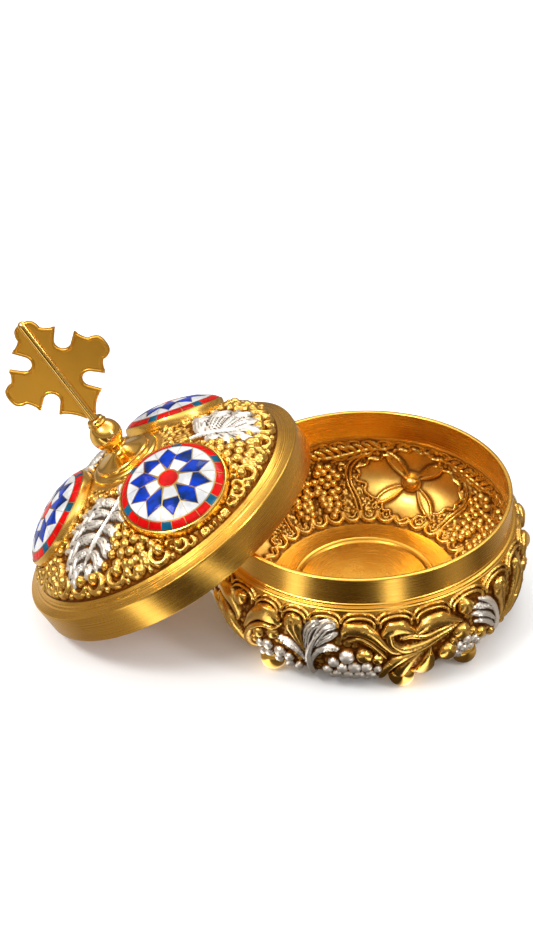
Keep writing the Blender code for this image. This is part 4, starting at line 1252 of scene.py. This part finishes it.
def polar(radius, degrees):
    """Point in the plane, from a share of the medallion's radius and a turn."""
    a = math.radians(degrees)
    return (radius * CELL_R * math.cos(a), radius * CELL_R * math.sin(a))


def arc(radius, start, end, steps):
    """Points on a circle, from a share of the medallion's radius and two turns."""
    return [polar(radius, start + (end - start) * k / steps) for k in range(steps + 1)]


# Numbers of a medallion's materials
BEZEL, RED, BLUE, TEAL, WHITE, WIRE = range(6)
MEDALLION_LOOKS = ("bezel", "red", "blue", "teal", "white", "wire")


def enamel_cells():
    """Outlines of the enamel cells and the number of each one's colour: a red boss, five
    long and five short blue pieces with white between, and a ring of red and teal blocks."""
    cells = [(RED, arc(0.175, 0.0, 345.0, 23))]
    for k in range(5):
        a = 72.0 * k
        cells.append((BLUE, [polar(0.19, a), polar(0.40, a + 15.5), polar(0.52, a + 18),
                             polar(0.745, a), polar(0.52, a - 18), polar(0.40, a - 15.5)]))
        b = a + 36.0
        cells.append((BLUE, [polar(0.42, b - 18.5), polar(0.40, b), polar(0.42, b + 18.5),
                             polar(0.52, b + 18), polar(0.73, b), polar(0.52, b - 18)]))
        cells.append((WHITE, [polar(0.19, b - 26), polar(0.19, b), polar(0.19, b + 26),
                              polar(0.42, b + 19.5), polar(0.40, b), polar(0.42, b - 19.5)]))
    for k in range(10):
        a = 36.0 * k + 18.0
        cells.append((WHITE, [polar(0.53, a), polar(0.745, a - 18)] + arc(0.775, a - 18, a, 4)))
        cells.append((WHITE, [polar(0.53, a)] + arc(0.775, a, a + 18, 4) + [polar(0.745, a + 18)]))
    for k in range(6):
        a = 60.0 * k + 8.0
        cells.append((TEAL, arc(0.785, a, a + 12, 4) + arc(0.905, a + 12, a, 4)))
        for j in range(3):
            b = a + 12 + 16 * j
            cells.append((RED, arc(0.785, b, b + 16, 5) + arc(0.905, b + 16, b, 5)))
    return cells


def dome_over(x, y, base):
    """Height of the medallion's rounded face over its foot."""
    share = (x ** 2 + y ** 2) / MEDALLION_R ** 2
    return base + MEDALLION_RISE * np.sqrt(np.clip(1.0 - 0.96 * share, 0.0, 1.0))


def add_cell(shell, outline, finish, base):
    """Glass cushion over a cell: rings that shrink from the drawn-in outline to its
    middle, higher inside than at the edge, closed underneath by one pole."""
    closed = np.array(outline + outline[:1], float)
    own = measured(closed)
    count = max(int(own[-1] / 0.55), 16)
    way = np.unique(np.concatenate([np.linspace(0, own[-1], count, endpoint=False), own[:-1]]))
    q = np.stack([np.interp(way, own, closed[:, k]) for k in (0, 1)], -1)
    centre = q.mean(0)
    edge = np.roll(q, -1, 0) - np.roll(q, 1, 0)
    edge /= np.maximum(np.linalg.norm(edge, axis=1, keepdims=True), 1e-9)
    inward = np.stack([-edge[:, 1], edge[:, 0]], -1)
    area = np.sum(q[:, 0] * np.roll(q[:, 1], -1) - np.roll(q[:, 0], -1) * q[:, 1])
    inset = 0.04 if finish == WHITE else 0.10
    q = q + inward * (inset if area > 0 else -inset)
    share = np.array([1.0, 0.985, 0.93, 0.78, 0.5, 0.25])[:, None, None]
    lift = np.array([-0.12, 0.03, 0.09, 0.12, 0.13, 0.13])[:, None]
    flat = centre + (q - centre)[None] * share
    z = dome_over(flat[..., 0], flat[..., 1], base) + lift
    body = np.concatenate([flat, z[..., None]], -1)
    top = dome_over(centre[0], centre[1], base)
    add_capped(shell, body, (*centre, top - 0.6), (*centre, top + 0.13), finish)


def build_medallions(looks):
    """Three convex medallions: gilt bezel and dome, with the enamel cells set in it."""
    low = math.sqrt(DOME_R ** 2 - MEDALLION_R ** 2) - DOME_R
    base = low + 1.2
    face = np.linspace(0.0, 0.957, 34) * MEDALLION_R
    dome = np.stack([face, dome_over(face, 0.0, base)], -1)
    edge = dome[-1, 1]
    rim = np.array([(17.6, edge - 0.15), (17.7, edge + 0.12), (17.95, edge + 0.02), (18.2, edge - 0.6),
                    (18.3, base + 0.2), (18.2, base - 0.3), (18.3, base - 0.7), (18.25, low - 0.2)])
    seat = 14.0
    back = np.array([(seat, math.sqrt(DOME_R ** 2 - seat ** 2) - DOME_R), (0.0, 0.0)])
    profile = np.concatenate([dome, rim[:1], rim[5:], back])
    bezel = np.concatenate([rim, [(17.5, low)]])
    finishes = [looks[key] for key in MEDALLION_LOOKS]
    for number in range(3):
        shell = Shell()
        add_turned(shell, profile, 180, WIRE)
        add_ring(shell, bezel, 180, BEZEL)
        for finish, outline in enamel_cells():
            add_cell(shell, outline, finish, base)
        shell.build(f"enamel_medallion_{number + 1}", finishes, f"medallion_{number + 1}",
                    medallion_place(MEDALLION_TURN + 120.0 * number), sharp=45.0)


# Finial and cross


# Radii of the finial's stem, ball and socket, the height of the ball's foot over the seat, and
# the angle at which the ball meets the stem
STEM_R = 3.1
BALL_R = 5.5
BALL_FOOT = 7.5
SOCKET_R = 2.9
BALL_CUT = math.asin(STEM_R / BALL_R)


def finial_profile():
    """Turned finial from its seat up: foot ring, disc, trumpet stem, neck, ball, socket."""
    trumpet = np.linspace(0.0, 1.0, 12)[1:]
    stem = np.stack([STEM_R + 5.7 * (1.0 - trumpet) ** 2.2, 3.1 + 3.3 * trumpet], -1)
    turn = np.linspace(BALL_CUT, math.pi - math.asin(SOCKET_R / BALL_R), 26)
    centre = BALL_FOOT + BALL_R * math.cos(BALL_CUT)
    ball = np.stack([BALL_R * np.sin(turn), centre - BALL_R * np.cos(turn)], -1)
    foot = np.array([(0.0, -1.0), (12.9, -1.0), (12.9, 0.9), (12.6, 1.35), (12.1, 1.65), (11.4, 1.75),
                     (10.5, 1.72), (10.15, 1.85), (10.0, 2.2), (10.0, 2.8), (9.7, 3.05), (8.8, 3.1)])
    neck = np.array([(3.15, 6.45), (3.9, 6.55), (4.2, 6.85), (4.2, 7.1), (3.9, 7.35), (3.2, 7.45)])
    socket = np.array([(3.3, 0.15), (3.45, 0.5), (3.3, 0.85), (2.95, 1.0), (SOCKET_R, 1.9), (2.6, 2.2),
                       (0.0, 2.2)]) + np.array([0.0, ball[-1, 1]])
    return np.concatenate([foot, stem, neck, ball, socket])


def finial_height():
    """Height of the finial over its seat, as the solid has it."""
    return BALL_FOOT + BALL_R * (1.0 + math.cos(BALL_CUT)) + 2.6 - 0.15 * BALL_R


def build_finial(looks):
    """Polished turned finial on the dome's seat."""
    shell = Shell()
    add_turned(shell, finial_profile(), 128)
    seat = np.array([0.0, 0.0, SEAT_Z])
    shell.build("turned_finial", [looks["polished"]], "finial",
                lambda p: on_lid(p + seat), sharp=35.0)


def bow(start, control, end, steps):
    """Points of a quadratic curve, without its end."""
    t = np.arange(steps)[:, None] / steps
    start, control, end = (np.array(p, float) for p in (start, control, end))
    return start * (1 - t) ** 2 + control * 2 * t * (1 - t) + end * t ** 2


def arm_outline(lobed):
    """Outline of one arm along +X from its lower cusp, in shares of the arm's length."""
    if lobed:
        half = np.concatenate([bow((0.66, -0.44), (0.72, -0.28), (0.79, -0.22), 8),
                               bow((0.79, -0.22), (0.86, -0.23), (0.95, -0.17), 8),
                               bow((0.95, -0.17), (1.0, -0.12), (1.0, 0.0), 8)])
    else:
        half = bow((0.66, -0.44), (0.78, -0.20), (1.0, -0.085), 16)
    other = half[1:][::-1] * np.array([1.0, -1.0])
    turn = np.radians(-45.0 - 45.0 * np.linspace(0.0, 4.0, 13))
    notch = 0.40 + 0.140 * np.stack([np.cos(turn), np.sin(turn)], -1)
    return np.concatenate([half, [(1.0, 0.0)], other, [(0.66, 0.44)], notch])


def cross_outline():
    """Whole outline: three lobed arms and a plain lower one."""
    arms = []
    for k in range(4):
        points = arm_outline(k != 3)
        turn = math.radians(90.0 * k)
        c, s = math.cos(turn), math.sin(turn)
        arms.append(points @ np.array([[c, s], [-s, c]]))
    return np.concatenate(arms) * ARM


def build_cross(looks):
    """Flat cross with a raised border, and a polished rod up its middle."""
    outline = cross_outline()
    edge = np.roll(outline, -1, 0) - np.roll(outline, 1, 0)
    edge /= np.maximum(np.linalg.norm(edge, axis=1, keepdims=True), 1e-9)
    out = np.stack([edge[:, 1], -edge[:, 0]], -1)
    # Distance in from the outline and half the thickness there: a thin face in a raised border
    half = np.array([(1.25, 0.50), (1.00, 0.55), (0.85, 0.76), (0.60, 0.86), (0.30, 0.80), (0.08, 0.62),
                     (0.0, 0.38)])
    inset = np.concatenate([half[:, 0], half[::-1, 0]])
    thick = np.concatenate([half[:, 1], -half[::-1, 1]])
    rows = outline[None] - out[None] * inset[:, None, None]
    y = np.repeat(-thick[:, None], len(outline), 1)
    body = np.stack([rows[..., 0], y, rows[..., 1]], -1)
    shell = Shell()
    flat = tessellated(rows[0])
    last = (len(inset) - 1) * len(outline)
    shell.add(body, grid_quads(len(inset), len(outline)), np.concatenate([flat, flat[:, ::-1] + last]))
    rod = np.array([(0.0, -ARM - 0.6), (1.6, -ARM - 0.6), (1.6, ARM - 1.0), (1.5, ARM - 0.4),
                    (1.1, ARM + 0.25), (0.5, ARM + 0.6), (0.0, ARM + 0.65)])
    add_turned(shell, rod, 40, finish=1)
    twist = turn_z(CROSS_TWIST)
    lift = np.array([0.0, 0.0, SEAT_Z + finial_height() + 0.6 + ARM])
    shell.build("cusped_cross", [looks["plate"], looks["polished"]], "cross",
                lambda p: on_lid(p @ twist.T + lift), sharp=40.0)


def tessellated(outline):
    """Triangles that fill a flat outline, all turned one way."""
    faces = np.array(tessellate_polygon([[Vector((*p, 0.0)) for p in outline]]))
    a, b, c = (outline[faces[:, k]] for k in range(3))
    area = (b[:, 0] - a[:, 0]) * (c[:, 1] - a[:, 1]) - (b[:, 1] - a[:, 1]) * (c[:, 0] - a[:, 0])
    return np.where(area[:, None] > 0, faces, faces[:, ::-1])


# Stage


# The camera's distance from the rim's middle in millimetres, its angles, its focal length,
# shift and frame in pixels, and its sensor in millimetres
CAMERA_DISTANCE = 449.0
CAMERA_RAISE = math.radians(34.5)
CAMERA_TURNS = (math.radians(3.66), math.radians(0.68), math.radians(1.6))
CAMERA_FOCUS = 1338.0
CAMERA_SHIFT = -9.0
FRAME_LONG = 948.0
SENSOR = 36.0


def make_camera():
    """Camera at the photograph's viewing angle: it looks at the rim's middle from the
    front and above, and then turns aside, up and round by the small angles."""
    target = BOWL_AXIS + np.array([0.0, 0.0, RIM_Z])
    place = target + CAMERA_DISTANCE * np.array([0.0, -math.cos(CAMERA_RAISE), math.sin(CAMERA_RAISE)])
    right = np.array([1.0, 0.0, 0.0])
    forward = np.array([0.0, math.cos(CAMERA_RAISE), -math.sin(CAMERA_RAISE)])
    base = np.stack([right, np.cross(right, forward), forward])
    pan, tilt, roll = CAMERA_TURNS
    axes = turn_z(roll) @ turn_y(pan) @ turn_x(tilt) @ base
    camera = bpy.data.objects.new("camera", bpy.data.cameras.new("camera"))
    bpy.context.scene.collection.objects.link(camera)
    matrix = Matrix.Identity(4)
    for k in range(3):
        matrix[k][0], matrix[k][1], matrix[k][2] = axes[0][k], axes[1][k], -axes[2][k]
        matrix[k][3] = place[k] * MM
    camera.matrix_world = matrix
    camera.data.sensor_width = SENSOR
    camera.data.lens = CAMERA_FOCUS * SENSOR / FRAME_LONG
    camera.data.shift_x = CAMERA_SHIFT / FRAME_LONG
    camera.data.clip_start, camera.data.clip_end = 0.01, 20.0
    bpy.context.scene.camera = camera


def aim(place, target):
    """Turn of a lamp at place that looks at target."""
    return (Vector(target) - Vector(place)).to_track_quat("-Z", "Y").to_euler()


def make_lamp(name, place, target, size, power):
    """Soft rectangular lamp."""
    light = bpy.data.lights.new(name, "AREA")
    light.shape = "RECTANGLE"
    light.size, light.size_y = size
    light.energy = power
    lamp = bpy.data.objects.new(name, light)
    lamp.location = place
    lamp.rotation_euler = aim(place, target)
    bpy.context.scene.collection.objects.link(lamp)


# Brightness in reflections. On the floor it is a glow that only reflections see, painted
# reflections with no lamp behind them: it goes by a share of the turn round the bowl from
# -180 to 180 degrees, with two narrow glowing patches before the front. In the surroundings
# it goes by a share of the height, from a little below the horizon to straight up.
FLOOR_STOPS = ((0.0, 0.80), (0.06, 0.30), (0.120, 0.35), (0.131, 2.10), (0.149, 1.80), (0.160, 0.16),
               (0.205, 0.08), (0.235, 0.05), (0.280, 0.05), (0.290, 2.80), (0.298, 2.30), (0.314, 0.12),
               (0.355, 0.08), (0.40, 0.50), (0.45, 0.10), (0.55, 0.55), (0.75, 0.25), (1.0, 0.80))
WORLD_STOPS = ((0.0, 0.04), (0.16, 0.06), (0.27, 0.30), (0.38, 0.38), (0.47, 0.12), (0.56, 0.40),
               (0.66, 0.34), (0.74, 1.20), (0.84, 1.40), (0.93, 0.95), (1.0, 0.75))


def ramp_of(tree, value, stops):
    """Colour that runs through stops, each a place and a brightness: brown where it is dark
    and nearly white where it is bright."""
    ramp = node(tree, "ShaderNodeValToRGB", {0: value})
    elements = ramp.color_ramp.elements
    for k, (position, level) in enumerate(stops):
        stop = elements[k] if k < 2 else elements.new(position)
        stop.position = position
        lit = min(level, 1.0) ** 0.6
        stop.color = (level, level * (0.64 + 0.33 * lit), level * (0.30 + 0.62 * lit), 1.0)
    return ramp.outputs[0]


def make_floor():
    """Wide pale floor. Reflections see it as a dim table with glowing patches in front, a glow
    that no lamp gives: painted reflections.
    """
    mesh = bpy.data.meshes.new("floor")
    corners = [(-3.0, -3.0, 0.0), (3.0, -3.0, 0.0), (3.0, 3.0, 0.0), (-3.0, 3.0, 0.0)]
    mesh.from_pydata(corners, [], [(0, 1, 2, 3)])
    floor = bpy.data.objects.new("floor", mesh)
    bpy.context.scene.collection.objects.link(floor)
    material, tree, shader = principled("pale floor")
    out = next(n for n in tree.nodes if n.type == "OUTPUT_MATERIAL")
    path = node(tree, "ShaderNodeLightPath")
    place = node(tree, "ShaderNodeTexCoord").outputs["Object"]
    pale = mixed(tree, noise(tree, place, 3.0, 2.0), (0.92, 0.92, 0.92, 1.0), (0.94, 0.94, 0.94, 1.0))
    tree.links.new(pale, shader.inputs["Base Color"])
    shader.inputs["Roughness"].default_value = 0.9
    parts = node(tree, "ShaderNodeSeparateXYZ", {0: place})
    x = worked(tree, "SUBTRACT", parts.outputs[0], BOWL_AXIS[0] * MM)
    y = worked(tree, "SUBTRACT", parts.outputs[1], BOWL_AXIS[1] * MM)
    turn = worked(tree, "ARCTAN2", y, x)
    bright = ramp_of(tree, ranged(tree, turn, -math.pi, math.pi, 0.0, 1.0), FLOOR_STOPS)
    # Glossy rays see the floor as this glow, a painted reflection; all other rays see the pale floor
    glow = node(tree, "ShaderNodeEmission", {"Color": bright, "Strength": 1.0})
    both = node(tree, "ShaderNodeMixShader", {0: path.outputs["Is Glossy Ray"], 1: shader.outputs[0],
                                              2: glow.outputs[0]})
    tree.links.new(both.outputs[0], out.inputs[0])
    mesh.materials.append(material)


def make_world(strength):
    """Pale surroundings for the eye and for soft light; reflections see a studio that is
    bright above and dim round the sides."""
    world = bpy.data.worlds.new("studio")
    bpy.context.scene.world = world
    world.use_nodes = True
    tree = world.node_tree
    tree.nodes.clear()
    out = node(tree, "ShaderNodeOutputWorld")
    path = node(tree, "ShaderNodeLightPath")
    direction = node(tree, "ShaderNodeTexCoord").outputs["Generated"]
    height = node(tree, "ShaderNodeSeparateXYZ", {0: direction}).outputs[2]
    colour = ramp_of(tree, ranged(tree, height, -0.2, 1.0, 0.0, 1.0), WORLD_STOPS)
    studio = node(tree, "ShaderNodeBackground", {"Color": colour, "Strength": strength})
    pale = node(tree, "ShaderNodeBackground", {"Color": (1.0, 1.0, 1.0, 1.0), "Strength": 1.0})
    both = node(tree, "ShaderNodeMixShader", {0: path.outputs["Is Glossy Ray"], 1: pale.outputs[0],
                                              2: studio.outputs[0]})
    tree.links.new(both.outputs[0], out.inputs[0])


def make_stage(light):
    """Camera, floor, surroundings and soft lamps."""
    make_camera()
    make_floor()
    make_world(light.studio)
    target = (0.0, 0.0, 0.03)
    make_lamp("key", (-0.42, -0.30, 0.80), target, (0.32, 0.22), light.key)
    make_lamp("fill", (0.60, -0.35, 0.55), target, (0.12, 0.40), light.key * 0.45)
    make_lamp("top", (0.15, 0.45, 0.80), target, (0.55, 0.20), light.key * 0.45)
    bpy.context.scene.view_settings.view_transform = "Standard"


# Panel and operators


def colour_setting(name, description, default):
    """Colour that the panel lets a user change."""
    return FloatVectorProperty(name=name, description=description, subtype="COLOR", size=3,
                               default=default, min=0.0, max=1.0)


class BoxColours(bpy.types.PropertyGroup):
    """Colours of the metals and the enamel."""
    gilt: colour_setting("Gilt", "Polished gilt brass", (0.98, 0.615, 0.145))
    # Brown of the carving's hollows: the metal's own age and painted shade; also the wires' darker tone
    patina: colour_setting("Patina", "Brown in the hollows of the carving", (0.20, 0.062, 0.006))
    satin: colour_setting("Satin gilt", "Brushed bands", (0.96, 0.575, 0.115))
    satin_shade: colour_setting("Satin shade", "Darker brushed lines", (0.78, 0.41, 0.055))
    # Darker copies of the satin colours for the inside: painted shade inside the bowl
    well: colour_setting("Well", "Brushed floor and lower wall inside", (0.84, 0.49, 0.085))
    well_shade: colour_setting("Well shade", "Darker brushed lines inside", (0.66, 0.34, 0.04))
    grained: colour_setting("Grained gilt", "Face of the cross", (0.72, 0.36, 0.042))
    wire: colour_setting("Wires", "Wires between the enamel cells", (0.40, 0.29, 0.09))
    silver: colour_setting("Silver", "Silver-plated leaves and grapes", (0.92, 0.87, 0.80))
    # Grey of the silver's hollows: the silver's own age and painted shade
    tarnish_and_shade: colour_setting("Tarnish and shade", "Grey in the hollows of the silver", (0.12, 0.085, 0.06))
    red: colour_setting("Red", "Red enamel", (0.62, 0.001, 0.001))
    red_deep: colour_setting("Deep red", "Thicker red enamel", (0.40, 0.001, 0.001))
    blue: colour_setting("Blue", "Cobalt enamel", (0.0, 0.034, 0.42))
    blue_deep: colour_setting("Deep blue", "Thicker cobalt enamel", (0.0, 0.016, 0.085))
    teal: colour_setting("Teal", "Teal enamel", (0.002, 0.10, 0.20))
    teal_deep: colour_setting("Deep teal", "Thicker teal enamel", (0.002, 0.05, 0.09))
    white: colour_setting("White", "White enamel", (0.66, 0.652, 0.645))
    white_deep: colour_setting("White shade", "Shade of the white enamel", (0.50, 0.50, 0.505))


class BoxStage(bpy.types.PropertyGroup):
    """Strength of the light."""
    key: FloatProperty(name="Key light", description="Power of the main soft lamp in watts",
                       default=3.8, min=0.0)
    studio: FloatProperty(name="Studio", description="Brightness of the surroundings in reflections",
                          default=1.15, min=0.0)


LOOKS = {}


def looks_of(scene):
    """The materials, made once and then found again."""
    if not LOOKS:
        LOOKS.update(make_looks(scene.box_colours))
    return LOOKS


class BuildBowl(bpy.types.Operator):
    """Collar, carved outside, carved inside and floor of the bowl"""
    bl_idname = "incense_box.bowl"
    bl_label = "Bowl"

    def execute(self, context):
        looks = looks_of(context.scene)
        build_collar(looks)
        build_outer_frieze(looks)
        build_inner_branch(looks)
        build_well(looks)
        return {"FINISHED"}


class BuildFeet(bpy.types.Operator):
    """Six ball feet"""
    bl_idname = "incense_box.feet"
    bl_label = "Feet"

    def execute(self, context):
        build_feet(looks_of(context.scene))
        return {"FINISHED"}


class BuildLid(bpy.types.Operator):
    """Brushed band and carved dome of the lid"""
    bl_idname = "incense_box.lid"
    bl_label = "Lid"

    def execute(self, context):
        looks = looks_of(context.scene)
        build_lid_band(looks)
        build_lid_dome(looks)
        return {"FINISHED"}


class BuildMedallions(bpy.types.Operator):
    """Enamel medallions on the dome"""
    bl_idname = "incense_box.medallions"
    bl_label = "Medallions"

    def execute(self, context):
        build_medallions(looks_of(context.scene))
        return {"FINISHED"}


class BuildFinial(bpy.types.Operator):
    """Turned finial and the cross on it"""
    bl_idname = "incense_box.finial"
    bl_label = "Finial and cross"

    def execute(self, context):
        looks = looks_of(context.scene)
        build_finial(looks)
        build_cross(looks)
        return {"FINISHED"}


class BuildStage(bpy.types.Operator):
    """Camera, floor and lights"""
    bl_idname = "incense_box.stage"
    bl_label = "Stage"

    def execute(self, context):
        make_stage(context.scene.box_stage)
        return {"FINISHED"}


OPERATORS = (BuildBowl, BuildFeet, BuildLid, BuildMedallions, BuildFinial, BuildStage)


class BoxPanel(bpy.types.Panel):
    """Lists the pieces of the box and their settings."""
    bl_idname = "VIEW3D_PT_incense_box"
    bl_label = "Incense box"
    bl_space_type = "VIEW_3D"
    bl_region_type = "UI"
    bl_category = "Incense box"

    def draw(self, context):
        column = self.layout.column()
        for kind in OPERATORS:
            column.operator(kind.bl_idname)
        for group in (context.scene.box_colours, context.scene.box_stage):
            for key in group.__annotations__:
                column.prop(group, key)


CLASSES = (BoxColours, BoxStage, *OPERATORS, BoxPanel)


def register():
    """Adds the classes and their settings to Blender."""
    for kind in CLASSES:
        bpy.utils.register_class(kind)
    bpy.types.Scene.box_colours = PointerProperty(type=BoxColours)
    bpy.types.Scene.box_stage = PointerProperty(type=BoxStage)


def unregister():
    """Takes them away again."""
    del bpy.types.Scene.box_colours
    del bpy.types.Scene.box_stage
    for kind in reversed(CLASSES):
        bpy.utils.unregister_class(kind)


def main():
    """Makes every piece."""
    register()
    bpy.ops.incense_box.bowl()
    bpy.ops.incense_box.feet()
    bpy.ops.incense_box.lid()
    bpy.ops.incense_box.medallions()
    bpy.ops.incense_box.finial()
    bpy.ops.incense_box.stage()


if __name__ == "__main__":
    main()
